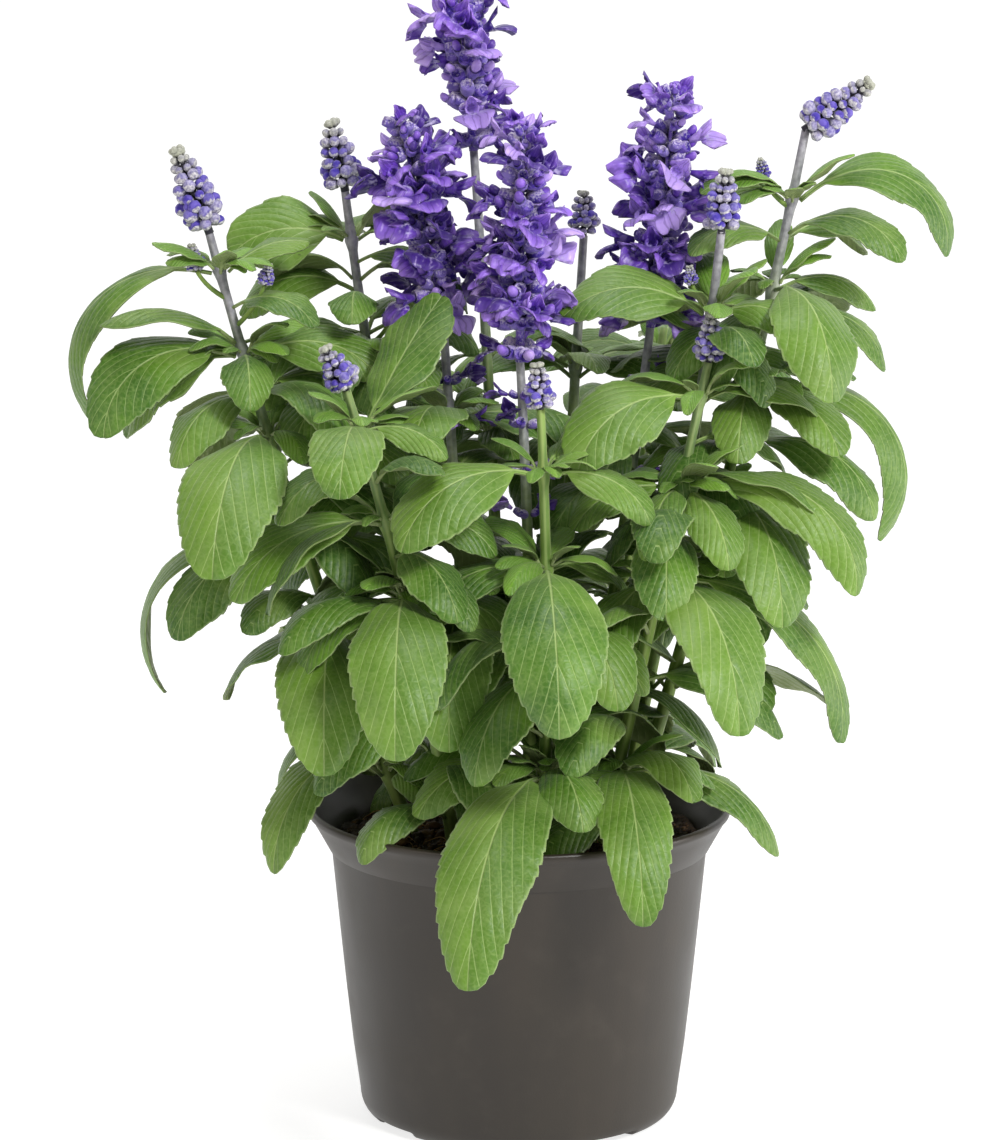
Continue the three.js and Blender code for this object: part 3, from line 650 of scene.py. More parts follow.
def add_leaf(shape, start, leaf, draw, shade=0):
    """Grow one leaf from its start and add it to the shape. Its shade lowers the leaf's own tone, which the
    leaf paint turns into painted shade.
    """
    compass, length, width, rise, droop, lean = leaf
    young = width < YOUNG_LEAF_WIDTH
    columns = ACROSS_YOUNG if young else ACROSS_INNER if shade == INNER_SHADE else ACROSS
    teeth = max(4, round(length / (1.6 if young else 1) / TOOTH_PITCH))
    bites = (np.arange(teeth)[:, None] + TOOTH_STEPS).ravel() / teeth
    blade = np.concatenate([np.zeros(len(STALK_STEPS)), bites, [0.9992]])
    share = PETIOLE_SHARE + (1 - PETIOLE_SHARE) * blade
    share[:len(STALK_STEPS)] = np.array(STALK_STEPS) * PETIOLE_SHARE
    twist = draw.uniform(-0.3, 0.3)
    veer = draw.uniform(-0.16, 0.16)
    middle, side, up = leaf_line(start, compass, length, rise, droop, lean, share, twist, veer)
    fullness = BASE_FULLNESS + (TIP_FULLNESS - BASE_FULLNESS) * blade ** 1.5
    lobe = np.clip(np.sin(np.pi * blade ** (BLADE_SKEW + draw.uniform(-0.08, 0.12))), 0, None) ** fullness
    stalk = PETIOLE_HALF_WIDTH * (1 - 0.8 * blade) * min(1, 0.4 + width / 45)
    half = np.maximum(stalk, 0.5 * width * lobe)
    depth = 0.03 * width + 0.25 * (not young)
    cuts = [tooth_cuts(teeth, draw) for _ in range(2)]
    bite = np.where(columns < 0, *cuts) * depth * np.clip(4 * blade - 0.9, 0, 1)[:, None]
    across = half[:, None] * columns + bite * np.sign(columns) * np.abs(columns) ** 8
    reach = np.abs(across) / (0.5 * width)
    vein = SIDE_VEINS * (blade[:, None] - VEIN_SWEEP * reach ** 1.12)
    height = leaf_height(blade, columns, across, half, vein, width / 30, draw)
    thick = leaf_thickness(blade, columns, across, width)
    upper = middle[:, None] + side[:, None] * across[..., None] + up[:, None] * height[..., None]
    lower = upper - up[:, None] * thick[..., None]
    points = np.concatenate([upper.reshape(-1, 3), lower.reshape(-1, 3)])
    level = np.concatenate([np.ones(across.size), np.zeros(across.size)])
    grid_blade = np.tile(np.broadcast_to(blade[:, None], across.shape).ravel(), 2)
    grid_across = np.tile(np.broadcast_to(columns, across.shape).ravel(), 2)
    place = np.stack([grid_across, grid_blade, level], 1)
    # A shade lowers the own tone, which the leaf paint turns into painted shade.
    own = np.full(points.shape[0], draw.random() + YOUNG_TONE * young - shade)
    tone = np.stack([np.tile(vein.ravel(), 2), np.tile(np.abs(across).ravel(), 2), own], 1)
    shape.add(points, sheet_faces(len(blade), len(columns)), place=place, tone=tone)


def leaf_paint(tree):
    """Matt green with pale veins and rim above, and grey green with raised veins below. Painted shade darkens
    one half of most leaves, the inner leaves and some shoot leaves; lighter patches are partly grey bloom,
    partly painted sheen.
    """
    across, along, upper = (tone_part(tree, axis, "place") for axis in range(3))
    vein, out, own = (tone_part(tree, axis) for axis in range(3))
    edge = sums(tree, "ABSOLUTE", across)
    wave = sums(tree, "ABSOLUTE", sums(tree, "SINE", sums(tree, "MULTIPLY", vein, math.pi)))
    inside = fade(tree, edge, 0.75, 0.98, 1, 0)
    side_vein = sums(tree, "MULTIPLY", fade(tree, wave, 0.02, 0.17, 1, 0), inside)
    midrib = fade(tree, sums(tree, "ADD", out, sums(tree, "MULTIPLY", along, 0.3)), 0.2, 0.62, 1, 0)
    veins = sums(tree, "MAXIMUM", midrib, sums(tree, "MULTIPLY", side_vein, 0.8))
    net = node(tree, "ShaderNodeTexVoronoi", {"Vector": object_place(tree), "Scale": 480.0},
               feature="DISTANCE_TO_EDGE")
    mesh = fade(tree, net, 0.02, 0.2, 1, 0)
    clouds = noise(tree, 60, 4)
    grain = noise(tree, 900, 4)
    green = blend(tree, fade(tree, clouds, 0.3, 0.7), colour("#36620E"), colour("#5B861C"))
    paler_tone = blend(tree, fade(tree, own, 0.1, 1, 0, 0.65), green, colour("#71962F"))
    young = blend(tree, fade(tree, own, 1.5, 2, 0, 0.7), paler_tone, colour("#78AC30"))
    # Painted shade: leaves whose own tone is under 0, the inner leaves and some shoot leaves, are painted
    # dark green.
    shaded = blend(tree, fade(tree, own, -0.9, 0, 0.6, 0), young, colour("#2A520C"))
    # Lighter grey green patches at random: partly the leaf's own grey bloom, partly painted sheen.
    bloom_and_sheen_patches = fade(tree, noise(tree, 38, 5), 0.46, 0.7, 0, 0.55)
    bloom = blend(tree, bloom_and_sheen_patches, shaded, colour("#7F9C48"))
    # Painted shade: one half of most leaves, chosen by the leaf's own tone, is painted darker green, as if
    # turned away from the light.
    side = sums(tree, "MULTIPLY", fade(tree, across, -0.04, 0.04, -1, 1), fade(tree, own, 0.3, 0.7, -1, 1))
    painted_half_shade = blend(tree, fade(tree, side, 0, 1, 0, 0.42), bloom, colour("#33600E"))
    dusted = blend(tree, fade(tree, grain, 0.45, 0.75, 0, 0.3), painted_half_shade, colour("#88A452"))
    netted = blend(tree, sums(tree, "MULTIPLY", mesh, 0.14), dusted, colour("#93AC62"))
    base = blend(tree, fade(tree, along, 0, 0.14, 0.7, 0), netted, colour("#86A94A"))
    veined = blend(tree, sums(tree, "MULTIPLY", veins, 0.58), base, colour("#B8CE84"))
    rimmed = blend(tree, fade(tree, edge, 0.94, 0.995, 0, 0.5), veined, colour("#A6BC7C"))
    under = blend(tree, fade(tree, clouds, 0.3, 0.7), colour("#7D9054"), colour("#94A26A"))
    under_veined = blend(tree, sums(tree, "MULTIPLY", veins, 0.6), under, colour("#B4C088"))
    faces = blend(tree, fade(tree, upper, 0.3, 0.7), under_veined, rimmed)
    raised = fade(tree, upper, 0.3, 0.7, -1, 1)
    pleats = bump(tree, sums(tree, "MULTIPLY", sums(tree, "POWER", wave, 0.8), raised), 0.2, 0.8)
    lines = bump(tree, sums(tree, "MULTIPLY", midrib, raised), -0.25, 0.8, pleats)
    relief = bump(tree, mesh, -0.05, 0.7, lines)
    puckered = bump(tree, noise(tree, 110, 2), 0.6, 0.7, relief)
    fuzzy = bump(tree, grain, 0.1, 0.5, puckered)
    rough = fade(tree, grain, 0.3, 0.7, 0.4, 0.54)
    return {"Base Color": faces, "Roughness": rough, "Normal": fuzzy}


leaf_green = painted("leaf_green", leaf_paint, Specular_IOR_Level=0.5, Sheen_Weight=0.08)
whorl_numbers = {}
for stem, at, leaves in WHORLS:
    number = whorl_numbers.get(stem, 0) + 1
    whorl_numbers[stem] = number
    draw = random.Random(f"whorl {stem}{number}")
    whorl = Shape()
    for k, leaf in enumerate(leaves):
        add_leaf(whorl, beside_stem(stem, at, leaf[0], stem_radius(at) + LEAF_START), leaf, draw)
        for _ in range(3 if k < 2 else 2):
            small = draw.uniform(10, 27)
            beside = leaf[0] + draw.choice([-1, 1]) * draw.uniform(22, 60)
            young = (beside, small, small * draw.uniform(0.34, 0.43), draw.uniform(25, 72),
                     draw.uniform(50, 105), draw.uniform(-20, 20))
            add_leaf(whorl, beside_stem(stem, at, beside, YOUNG_LEAF_OUT, YOUNG_LEAF_ABOVE), young, draw)
    piece = whorl.make(f"leaves_{stem}{number}", leaf_green)
    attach(piece, "root")
    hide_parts(f"leaf_whorl_{stem}{number}")

# Inside the plant each stem carries pairs of middling leaves that fill the shade between the others. They are
# painted darker, as painted shade, and end where the bare stalk of the flowers begins.
INNER_LEAVES_FROM = 0.17
INNER_LEAVES_TO = {
    "a": 0.84, "b": 0.9, "c": 0.8, "d": 0.76, "e": 0.66, "f": 0.86, "g": 0.84,
    "h": 0.84, "i": 0.8, "j": 0.84, "k": 0.62, "l": 0.82, "m": 0.92, "n": 0.92}
for stem, ending in INNER_LEAVES_TO.items():
    draw = random.Random(f"inner leaves {stem}")
    inner = Shape()
    at = INNER_LEAVES_FROM + draw.uniform(0, 0.05)
    facing = draw.uniform(0, 180)
    while at < ending:
        for beside in (facing, facing + 180):
            beside += draw.uniform(-15, 15)
            long = draw.uniform(34, 56) * min(1, 0.5 + 1.6 * at)
            leaf = (beside, long, long * draw.uniform(0.34, 0.44), draw.uniform(10, 50),
                    draw.uniform(75, 135), draw.uniform(-25, 25))
            add_leaf(inner, beside_stem(stem, at, beside, 0.7 * stem_radius(at)), leaf, draw, INNER_SHADE)
        at += draw.uniform(0.075, 0.11)
        facing += 90
    piece = inner.make(f"inner_leaves_{stem}", leaf_green)
    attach(piece, "root")

# Between the whorls the side shoots of seven stems carry leaves of their own, which close the gaps
# in the outer foliage. For each one: stem, share of its length, and the leaf as in the whorls.
SHOOT_LEAVES = [
    ("b", 0.9, (-20, 32, 14, 30, 90, 20)), ("b", 0.86, (172, 42, 19, 28, 95, 30)),
    ("b", 0.84, (-95, 34, 15, 40, 100, 0)), ("b", 0.8, (-150, 48, 20, 20, 100, 30)),
    ("b", 0.8, (10, 40, 17, 30, 95, 20)), ("b", 0.72, (-130, 46, 20, 20, 100, 20)),
    ("a", 0.89, (-30, 34, 15, 30, 85, 25)), ("a", 0.77, (5, 50, 20, 28, 95, 30)),
    ("a", 0.76, (-130, 44, 19, 15, 95, 20)), ("a", 0.62, (-5, 52, 22, 20, 95, 20)),
    ("i", 0.87, (-25, 44, 17, 35, 105, 20)), ("i", 0.86, (200, 34, 15, 35, 95, 20)),
    ("i", 0.86, (40, 40, 15, 30, 95, 20)), ("i", 0.76, (-10, 46, 17, 25, 110, 25)),
    ("i", 0.74, (215, 40, 17, 25, 100, 20)), ("i", 0.6, (-20, 56, 23, 20, 105, 10)),
    ("h", 0.84, (-70, 38, 16, 40, 105, 10)), ("h", 0.8, (20, 42, 17, 30, 90, 25)),
    ("l", 0.86, (30, 40, 16, 20, 90, 25)), ("l", 0.7, (-95, 50, 20, 20, 105, 5)),
    ("j", 0.84, (-140, 40, 17, 25, 95, 20)), ("j", 0.7, (-60, 44, 19, 20, 95, 10)),
    ("k", 0.6, (-60, 52, 21, 20, 105, 10)), ("k", 0.5, (-120, 56, 22, 10, 95, 10)),
]
shoots = Shape()
draw = random.Random("shoot leaves")
for stem, at, leaf in SHOOT_LEAVES:
    # Each shoot leaf gets a random shade, so some of them are painted darker, as painted shade.
    add_leaf(shoots, beside_stem(stem, at, leaf[0], 0.7 * stem_radius(at)), leaf, draw, draw.random())
piece = shoots.make("shoot_leaves", leaf_green)
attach(piece, "root")

# ---------------------------------------------------------------------------------------------
# Four stems end in a spike in full flower: tiers of small mealy calyces round a violet stalk. From
# each calyx grows a violet blue flower with a short hood and a broad, cupped, two-lobed lip.

SPIKE_GAP = 0.3
CALYX_LENGTH = 5.6
TIER_PITCH = 5.5
FLOWERS_A_TIER = 9
CALYX_SIZE = 0.84
PETAL_FORMS = 9
CLOSED_FLOWERS = 0.65
SPIKE_STEPS = 26
SPIKE_SIDES = 12
CROWN_BUDS = 5

# For each flowering spike its reach from foot to tip, and the share of its flowers that are open.
FLOWER_SPIKES = {
    "c": ((-5, 2, 56), 0.38),
    "d": ((-13, -2, 64), 0.46),
    "e": ((1, -2, 70), 0.4),
    "g": ((7, 1, 72), 0.48),
}


def calyx_form():
    """A round-bellied bell, open at its mouth, as rings along Z."""
    bell = [(0.5, 0), (1.3, 0.6), (1.9, 1.9), (2.05, 3.4), (1.95, 4.7), (1.75, 5.6), (1.4, 5.2), (1, 4.2)]
    return skin(turned(bell, 9))


def closed_petal_form():
    """A flower bud: a round club that swells and bends over the mouth of its calyx."""
    rings = turned([(0.7, 3.8), (1.1, 5.2), (1.4, 6.4), (1.45, 7.4), (1.1, 8.4), (0.45, 8.8)], 9)
    rings[..., 1] += 0.05 * (rings[..., 2] - 5).clip(0) ** 2
    return skin(rings)


def petal_sheet(form, rows, columns, outline, turned_over=False):
    """Add one petal to a form: outline gives its points, and its place from root to rim."""
    along = np.linspace(0, 1, rows)[:, None] + np.zeros((1, columns))
    across = np.linspace(-1, 1, columns)[None, :] + np.zeros((rows, 1))
    upper, mark = outline(along, across)
    lower = upper - [0, 0.3, 0.1]
    place = np.tile(np.stack([along, mark, np.abs(across)], -1).reshape(-1, 3), (2, 1))
    faces = sheet_faces(rows, columns)
    if turned_over:
        faces = [face[::-1] for face in faces]
    form.add(np.concatenate([upper.reshape(-1, 3), lower.reshape(-1, 3)]), faces, place=place)


def open_petal_form(draw):
    """An open flower: a short tube, a hood above it and a broad lip with two round lobes."""
    spread = draw.uniform(0.9, 1.2)
    bend = draw.uniform(0.8, 2.0)
    cup = draw.uniform(-0.6, 3.4)
    lobes = draw.uniform(0.14, 0.3)
    twist = draw.uniform(-0.5, 0.5)
    lift = draw.uniform(0.4, 1.5)

    def lip(along, across):
        """The broad lower petal, with a notch in its rim between two lobes."""
        reach = 8.3 * (1 - lobes * np.exp(-(across / 0.22) ** 2) - 0.55 * np.abs(across) ** 2)
        half = (1.2 + 3.9 * np.sin(np.pi * (0.06 + 0.68 * along))) * spread
        turn = bend * along
        raised = cup * across ** 2 * along - 1.1 * along * np.exp(-(across / 0.3) ** 2)
        raised = raised + twist * across * along * 2 - 1.2 * np.abs(across) ** 5 * along
        fall = -1.0 - reach * (1 - np.cos(turn)) / bend + raised * np.cos(turn)
        ahead = 6.2 + reach * np.sin(turn) / bend + raised * np.sin(turn)
        return np.stack([across * half, fall, ahead], -1), 1 - along

    def hood(along, across):
        """The short upper petal, arched over the flower's mouth."""
        half = (1.3 + 1.5 * np.sin(np.pi * along ** 0.8)) * spread
        rise = 1.0 + lift * 2.2 * along ** 0.8 - 1.7 * across ** 2 * (0.4 + 0.6 * along)
        ahead = 6.4 + 4.8 * along * (1 - 0.2 * across ** 2)
        return np.stack([across * half, rise, ahead], -1), 0 * along

    form = Shape()
    points, faces = skin(turned([(0.7, 3.4), (1.05, 5), (1.4, 6.4), (1.9, 7.6), (1.5, 7.4), (0.8, 5.6)], 9))
    form.add(points, faces, place=(0.1, 0.6, 0))
    petal_sheet(form, 7, 9, lip, True)
    petal_sheet(form, 5, 7, hood, True)
    return np.concatenate(form.points), form.faces, np.concatenate(form.place)


def axes_of(way, upward):
    """Across, up and ahead, for a part that grows along a way, with its top turned upward."""
    ahead = way / np.linalg.norm(way)
    across = np.cross(upward, ahead)
    across /= np.linalg.norm(across)
    return np.array([across, np.cross(ahead, across), ahead])


def violet_paint(tree):
    """Violet blue petals with a painted lilac highlight on their folds and towards their rims, fine dark
    veins and a pale throat. Some whole flowers are painted pale as highlight, others deep violet as shade.
    """
    along, throat, out = (tone_part(tree, axis, "place") for axis in range(3))
    own = tone_part(tree, 0)
    clouds = noise(tree, 330, 4)
    deep = blend(tree, fade(tree, clouds, 0.35, 0.65), colour("#3E1690"), colour("#7240C8"))
    # Painted highlight: the petals are painted lighter lilac towards their rims and tips.
    lit = blend(tree, fade(tree, along, 0.25, 1.0, 0, 0.7), deep, colour("#A87EEA"))
    # Painted highlight: flowers with a high own tone are painted pale lilac, as lit copies of the others.
    paler_tone = blend(tree, fade(tree, own, 0.5, 0.95, 0, 0.9), lit, colour("#C6A8F4"))
    # Painted shade: flowers with a low own tone are painted deep violet, as shaded copies of the others.
    dark = blend(tree, fade(tree, own, 0.0, 0.4, 0.85, 0), paler_tone, colour("#2F0F74"))
    warp = sums(tree, "MULTIPLY", noise(tree, 300, 2), 5.0)
    fan = sums(tree, "SINE", sums(tree, "ADD", sums(tree, "MULTIPLY", out, 15.0), warp))
    # Painted highlight: pale lilac streaks here and there along the crests of the fan of folds.
    painted_fold_highlight = sums(tree, "MULTIPLY", fade(tree, fan, 0.55, 1), fade(tree, noise(tree, 480, 3), 0.45, 0.65))
    streaked = blend(tree, sums(tree, "MULTIPLY", painted_fold_highlight, 0.4), dark, colour("#CDB6F4"))
    veined = blend(tree, fade(tree, fan, -0.7, -1.0, 0, 0.4), streaked, colour("#300F6E"))
    mark = sums(tree, "MULTIPLY", fade(tree, throat, 0.55, 0.85), fade(tree, noise(tree, 700, 2), 0.42, 0.6))
    marked = blend(tree, sums(tree, "MULTIPLY", mark, 0.8), veined, colour("#DCD2F6"))
    relief = bump(tree, fan, 0.12, 0.6, bump(tree, clouds, 0.35, 0.6))
    return {"Base Color": marked, "Roughness": fade(tree, clouds, 0.3, 0.7, 0.3, 0.46), "Normal": relief}


def mealy_paint(tree):
    """Violet calyces with a white mealy bloom that lies in patches, thickest on their tops, and painted
    shade, almost black, at their roots among the crowded calyces.
    """
    along, top, own = (tone_part(tree, axis) for axis in range(3))
    meal = noise(tree, 1500, 4)
    skin_colour = blend(tree, fade(tree, noise(tree, 400, 3), 0.4, 0.6), colour("#3E2296"), colour("#8064C6"))
    paler_tone = blend(tree, fade(tree, own, 0.3, 0.9, 0, 0.6), skin_colour, colour("#8E7EC4"))
    high = sums(tree, "ADD", meal, sums(tree, "MULTIPLY", top, 0.22))
    cover = sums(tree, "MULTIPLY", fade(tree, high, 0.46, 0.76), fade(tree, own, 0, 1, 0.55, 1))
    mealy = blend(tree, cover, paler_tone, colour("#EAE0F2"))
    # Painted shade: each calyx is painted almost black towards its root, where it crowds the stalk.
    painted_root_shade = blend(tree, fade(tree, along, 0.5, 0.05, 0, 0.85), mealy, colour("#1C123C"))
    return {"Base Color": painted_root_shade, "Roughness": fade(tree, meal, 0.3, 0.7, 0.5, 0.8),
            "Normal": bump(tree, meal, 0.22, 0.8)}


def spike_point(stem, reach, share):
    """A point of a spike's stalk, from just over the end of its stem to its tip."""
    reach = np.array(reach, float)
    way = reach / np.linalg.norm(reach)
    return stem_point(stem, 1) + SPIKE_GAP * way + reach * share


def spike_sides(reach):
    """The way a spike grows, and two directions square to it and to each other."""
    upward = np.array(reach, float) / np.linalg.norm(reach)
    level = np.cross(upward, [0, 1, 0])
    level /= np.linalg.norm(level)
    return upward, level, np.cross(upward, level)


def add_flower(spike, foot, way, upward, size, is_open, draw):
    """One calyx on a spike, with an open flower in it, a closed one, or none yet."""
    axes = axes_of(way, upward)
    own = draw.random()
    points, faces = calyx
    paint = np.stack([points[:, 2] / CALYX_LENGTH, points[:, 1] / 2, 0 * points[:, 2] + own], 1)
    spike.add(foot + CALYX_SIZE * size * points @ axes, faces, coat=1, tone=paint)
    own = draw.random()
    if is_open:
        points, faces, place = draw.choice(open_petals)
        lean = np.array([draw.uniform(-0.5, 0.5) for _ in range(6)])
        tilt = axes_of(way / np.linalg.norm(way) + lean[:3], upward + 1.3 * lean[3:])
        reached = foot + draw.uniform(-0.6, 2.6) * tilt[2]
        spike.add(reached + size * points @ tilt, faces, place=place, tone=(own, 0, 0))
    elif draw.random() < CLOSED_FLOWERS:
        points, faces = closed_petal
        place = np.stack([(points[:, 2] - 4) / 6, 0 * points[:, 2], 0 * points[:, 2]], 1)
        spike.add(foot + CALYX_SIZE * size * points @ axes, faces, place=place, tone=(own, 0, 0))


violet_petal = painted("violet_petal", violet_paint, Specular_IOR_Level=0.5, Sheen_Weight=0.15)
mealy_skin = painted("mealy_skin", mealy_paint, Specular_IOR_Level=0.25, Sheen_Weight=0.3)
calyx = calyx_form()
closed_petal = closed_petal_form()
form_draw = random.Random("petal forms")
open_petals = [open_petal_form(form_draw) for _ in range(PETAL_FORMS)]
for stem, (reach, opening) in FLOWER_SPIKES.items():
    draw = random.Random(f"flower spike {stem}")
    upward, level, third = spike_sides(reach)
    spike = Shape()
    shares = np.linspace(-0.02, 0.97, SPIKE_STEPS)
    line = [spike_point(stem, reach, share) for share in shares]
    stalk = tube(line, 1.35 - 0.95 * shares, SPIKE_SIDES, 0.06)
    spike.add(*skin(stalk), coat=1, tone=(1, 0, 0.4))
    tiers = round(np.linalg.norm(reach) / TIER_PITCH)
    for tier in range(tiers):
        share = 0.02 if tier == 0 else 0.1 + 0.88 * tier / tiers
        young = max(0, (share - 0.62) / 0.38)
        count = round(FLOWERS_A_TIER - 2 * young)
        for k in range(count):
            turn = 2 * math.pi * (k + 0.5 * (tier % 2)) / count + draw.uniform(-0.3, 0.3)
            out = math.cos(turn) * level + math.sin(turn) * third
            way = out + (draw.uniform(-0.1, 0.85) + 0.7 * young) * upward
            foot = spike_point(stem, reach, share + draw.uniform(-0.045, 0.045) * (tier > 0)) + 1.2 * out
            is_open = draw.random() < opening * (1 - 0.6 * young)
            size = (1.16 - 0.4 * young) * draw.uniform(0.78, 1.2)
            add_flower(spike, foot, way, upward, size, is_open, draw)
    crown = spike_point(stem, reach, 0.96)
    for k in range(CROWN_BUDS):
        turn = 2 * math.pi * k / CROWN_BUDS
        out = math.cos(turn) * level + math.sin(turn) * third
        add_flower(spike, crown, 0.55 * out + upward, upward + 0.2 * level, 0.5, False, draw)
    piece = spike.make(f"flowers_{stem}", violet_petal, mealy_skin)
    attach(piece, "root")
    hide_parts(f"flower_spike_{stem}")

# A few late flowers stand lower down, on the stalks under the spikes, half hidden by the leaves.
LATE_FLOWERS = {"d": (0.83, 0.9), "e": (0.72, 0.8, 0.88, 0.93), "g": (0.74, 0.9)}
late = Shape()
draw = random.Random("late flowers")
for stem, shares in LATE_FLOWERS.items():
    for share in shares:
        for turn in (-0.25, 0.2, 0.55, 0.8):
            turn = math.pi * (turn - 0.7 + draw.uniform(-0.1, 0.1))
            out = np.array([math.cos(turn), math.sin(turn), 0])
            foot = stem_point(stem, share) + 0.8 * stem_radius(share) * out
            way = out + np.array([0, 0, draw.uniform(0.3, 0.8)])
            size = draw.uniform(0.7, 0.9)
            add_flower(late, foot, way, np.array([0, 0, 1.0]), size, draw.random() < 0.6, draw)
piece = late.make("late_flowers", violet_petal, mealy_skin)
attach(piece, "root")

# ---------------------------------------------------------------------------------------------
# Eight stems end in a young spike: tiers of closed mealy buds like beads, white with lilac, and
# violet on the side that meets the light. Towards the spike's tip they are small and greenish.

BUD_PITCH = 0.34
BUDS_A_TIER = 8
BUDS_A_TOP_TIER = 6
TIP_BUDS = 4
BEAD_SIDES = 8

# For each bud spike its reach from foot to tip, and its radius.
BUD_SPIKES = {
    "a": ((-9, 0, 24), 8.4),
    "b": ((-4, 0, 20), 8.2),
    "f": ((0, 1, 13), 5.9),
    "h": ((1, 0, 18), 7.2),
    "i": ((19, 0, 13.5), 7.8),
    "j": ((-6, -1, 12.5), 6.6),
    "k": ((-1, 0, 13), 5.8),
    "l": ((1, 0, 14), 5.9),
}


def bud_paint(tree):
    """Mealy white buds with violet shoulders, greenish towards the spike's tip, and painted shade, almost
    black, at their roots and on the hidden stalk.
    """
    along, top, height = (tone_part(tree, axis, "place") for axis in range(3))
    own = tone_part(tree, 0)
    meal = noise(tree, 1300, 5)
    patches = noise(tree, 520, 3)
    white = blend(tree, fade(tree, meal, 0.3, 0.7), colour("#86809A"), colour("#E8E4E8"))
    shoulder = sums(tree, "ADD", sums(tree, "MULTIPLY", top, 0.5), sums(tree, "MULTIPLY", along, 0.55))
    spotted = sums(tree, "ADD", shoulder, sums(tree, "MULTIPLY", patches, 1.1))
    spread = sums(tree, "MULTIPLY", fade(tree, own, 0, 0.6, 0.3, 1), fade(tree, height, 1.0, 0.4, 0.15, 1))
    violet = sums(tree, "MULTIPLY", fade(tree, spotted, 0.7, 0.82), spread)
    lilac = blend(tree, fade(tree, patches, 0.4, 0.6), colour("#4030A0"), colour("#6A5ABE"))
    shaded = blend(tree, violet, white, lilac)
    green = blend(tree, fade(tree, height, 0.5, 1, 0, 0.7), shaded, colour("#A9AE8C"))
    # Painted shade: each bud is painted almost black towards its root, and so is the stalk among the buds.
    dark = blend(tree, fade(tree, along, 0.62, 0.2, 0, 0.95), green, colour("#1E1A2E"))
    return {"Base Color": dark, "Roughness": fade(tree, meal, 0.3, 0.7, 0.5, 0.8),
            "Normal": bump(tree, meal, 0.2, 0.8)}


def add_buds(spike, foot, reach, radius, draw):
    """A young spike of bead-like buds on a short stalk."""
    upward, level, third = spike_sides(reach)
    length = np.linalg.norm(reach)
    shares = np.linspace(-0.06, 0.95, 12)
    stalk = tube([foot + np.array(reach) * share for share in shares], 0.16 * radius * (1 - 0.6 * shares), 8)
    spike.add(*skin(stalk), place=(0, 0, 0.2), tone=(0.5, 0, 0))
    tiers = round(length / (BUD_PITCH * radius))
    for tier in range(tiers):
        share = (tier + 0.35) / tiers
        full = min(1, 0.72 + 1.7 * share) * (1 - 0.66 * share ** 1.5)
        long = 0.66 * radius * full + 0.5
        count = BUDS_A_TIER if share < 0.66 else BUDS_A_TOP_TIER
        thick = min(0.37 * long, 2.2 * radius * full / count)
        for k in range(count):
            turn = 2 * math.pi * (k + 0.5 * (tier % 2)) / count + draw.uniform(-0.2, 0.2)
            out = math.cos(turn) * level + math.sin(turn) * third
            way = out + (0.3 + 1.5 * share ** 2 + draw.uniform(-0.25, 0.25)) * upward
            points, faces = bead
            own_size = draw.uniform(0.72, 1.1)
            scaled = points * [thick * own_size, thick * own_size, long * own_size]
            place = np.stack([points[:, 2], points[:, 1], 0 * points[:, 2] + share], 1)
            root = foot + np.array(reach) * share + 0.24 * radius * full * out
            spike.add(root + scaled @ axes_of(way, upward), faces, place=place, tone=(draw.random(), 0, 0))
    for k in range(TIP_BUDS):
        turn = 2 * math.pi / TIP_BUDS * k
        way = upward + 0.5 * (math.cos(turn) * level + math.sin(turn) * third)
        points, faces = bead
        place = np.stack([points[:, 2], points[:, 1], 0 * points[:, 2] + 1], 1)
        size = 0.16 * radius
        tip = foot + 0.88 * np.array(reach) + (points * [size, size, 2.4 * size]) @ axes_of(way, level)
        spike.add(tip, faces, place=place, tone=(0.2, 0, 0))


bud_skin = painted("bud_skin", bud_paint, Specular_IOR_Level=0.25, Sheen_Weight=0.3)
bead = skin(turned([(0.3, 0), (0.62, 0.25), (0.95, 0.5), (1, 0.68), (0.78, 0.87), (0.35, 0.98)], BEAD_SIDES))
for stem, (reach, radius) in BUD_SPIKES.items():
    spike = Shape()
    add_buds(spike, spike_point(stem, reach, 0), reach, radius, random.Random(f"bud spike {stem}"))
    piece = spike.make(f"buds_{stem}", bud_skin)
    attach(piece, "root")
    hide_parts(f"bud_spike_{stem}")

# Small side shoots with the first buds of the next spikes stand near the upper knots of four
# stems. For each one: stem, share of its length, its reach from there, and its spike's radius.
SIDE_BUDS = [
    ("a", 0.9, (-9, -3, 9), 3.4), ("a", 0.86, (9, -4, 13), 2.8), ("i", 0.9, (-8, -2, 9), 2.6),
    ("b", 0.78, (7, -3, 8), 2.6), ("h", 0.88, (-6, -3, 9), 2.4)]
for k, (stem, share, lean, radius) in enumerate(SIDE_BUDS):
    knot = stem_point(stem, share)
    end = knot + np.array(lean)
    middle = 0.5 * (knot + end) + np.array([0.2 * lean[0], 0, -1])
    steps = np.linspace(0, 1, 9)[:, None]
    line = knot * (1 - steps) ** 2 + 2 * middle * steps * (1 - steps) + end * steps ** 2
    shoot = Shape()
    shoot.add(*skin(tube(line, np.linspace(0.8, 0.6, 9), 8)), coat=1, tone=(0.4, 0, 0.5))
    draw = random.Random(f"side buds {k}")
    add_buds(shoot, end, (0.15 * lean[0], 0, 2.2 * radius), radius, draw)
    piece = shoot.make(f"side_buds_{k + 1}", bud_skin, stem_skin)
    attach(piece, "root")

# ---------------------------------------------------------------------------------------------
# The plant stands on a pale floor that runs up into the wall behind it, in soft studio light from
# both sides and above.

FLOOR_HALF_WIDTH = 3.0
FLOOR_FRONT = -1.6
WALL_FOOT = 2.2
WALL_HEIGHT = 3.0
SWEEP_RADIUS = 1.0
SWEEP_STEPS = 12
FLOOR_GLOW = 0.76
WORLD_GLOW = 0.24


def floor_paint(tree):
    """Matt white board with a trace of grain, lit a little from within."""
    grain = noise(tree, 60, 4)
    return {"Base Color": blend(tree, grain, colour("#A6A6A5"), colour("#ACACAB")),
            "Roughness": fade(tree, grain, 0.3, 0.7, 0.7, 0.8)}


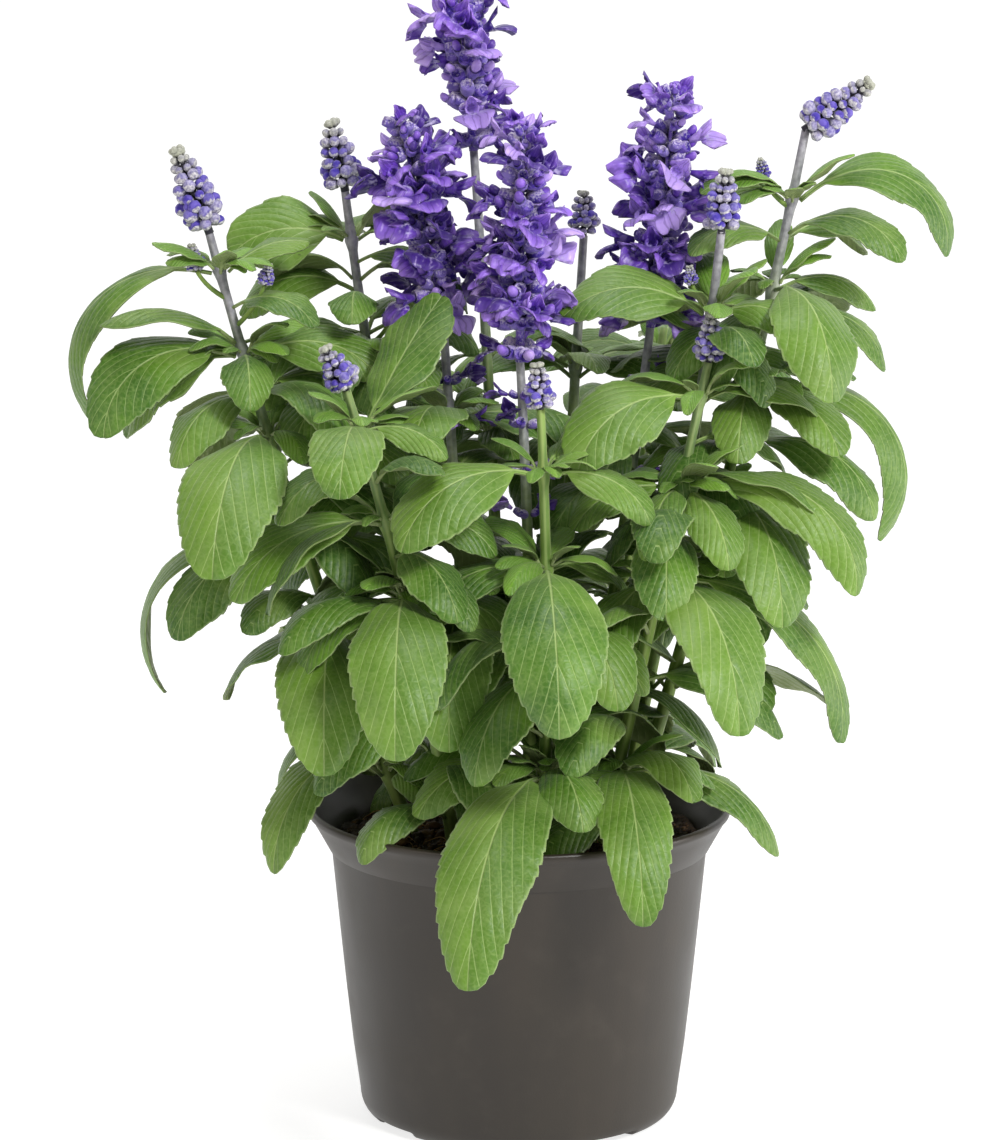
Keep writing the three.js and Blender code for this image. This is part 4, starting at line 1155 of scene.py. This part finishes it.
profile = [(FLOOR_FRONT, 0), (0, 0), (WALL_FOOT - SWEEP_RADIUS, 0)]
for step in range(1, SWEEP_STEPS + 1):
    turn = math.radians(90 * step / SWEEP_STEPS)
    back = WALL_FOOT - SWEEP_RADIUS + SWEEP_RADIUS * math.sin(turn)
    profile.append((back, SWEEP_RADIUS * (1 - math.cos(turn))))
profile.append((WALL_FOOT, WALL_HEIGHT))
floor_mesh = bpy.data.meshes.new("studio_floor")
corners = [(x, y, z) for y, z in profile for x in (-FLOOR_HALF_WIDTH, FLOOR_HALF_WIDTH)]
strips = [(2 * k, 2 * k + 1, 2 * k + 3, 2 * k + 2) for k in range(len(profile) - 1)]
floor_mesh.from_pydata(corners, [], strips)
floor_mesh.polygons.foreach_set("use_smooth", [True] * len(strips))
floor_board = painted(
    "floor_board", floor_paint, Emission_Color=colour("#FFFFFF"), Emission_Strength=FLOOR_GLOW)
floor_mesh.materials.append(floor_board)
floor = bpy.data.objects.new("studio_floor", floor_mesh)
bpy.context.scene.collection.objects.link(floor)

world = bpy.data.worlds.new("studio")
world.use_nodes = True
world.node_tree.nodes["Background"].inputs["Color"].default_value = colour("#FFFFFF")
world.node_tree.nodes["Background"].inputs["Strength"].default_value = WORLD_GLOW
bpy.context.scene.world = world

# Each lamp has a place, the width of its soft box in metres, its power in watts and its colour.
LAMPS = {
    "key_lamp": ((0.9, -1.3, 1.4), 0.4, 27, "#FFFFFF"),
    "fill_lamp": ((-1.3, -1.0, 0.8), 0.8, 4.6, "#FFF4E4"),
    "right_strip": ((1.2, -0.2, 0.25), 0.45, 6, "#FFFAF4"),
    "top_lamp": ((-0.1, 0.2, 1.7), 0.7, 10, "#FFFFFF"),
}
AIM = (0, 0, 0.18)
for name, (place, width, power, tint) in LAMPS.items():
    light = bpy.data.lights.new(name, "AREA")
    light.shape = "SQUARE"
    light.size = width
    light.energy = power
    light.color = colour(tint)[:3]
    lamp = bpy.data.objects.new(name, light)
    lamp.location = place
    away = [here - there for here, there in zip(place, AIM)]
    flat = math.hypot(away[0], away[1])
    lamp.rotation_euler = (math.atan2(flat, away[2]), 0, math.atan2(away[1], away[0]) + math.pi / 2)
    bpy.context.scene.collection.objects.link(lamp)

# The camera looks a little down on the plant, from the front and well back.
CAMERA_PLACE = (-0.0059, -1.3, 0.421)
CAMERA_TILT = 79.07
LENS_LENGTH = 137.1
FILM_WIDTH = 36
lens = bpy.data.cameras.new("camera")
lens.lens = LENS_LENGTH
lens.sensor_width = FILM_WIDTH
camera = bpy.data.objects.new("camera", lens)
camera.location = CAMERA_PLACE
camera.rotation_euler = (math.radians(CAMERA_TILT), 0, 0)
bpy.context.scene.collection.objects.link(camera)
bpy.context.scene.camera = camera
bpy.context.scene.view_settings.view_transform = "Standard"
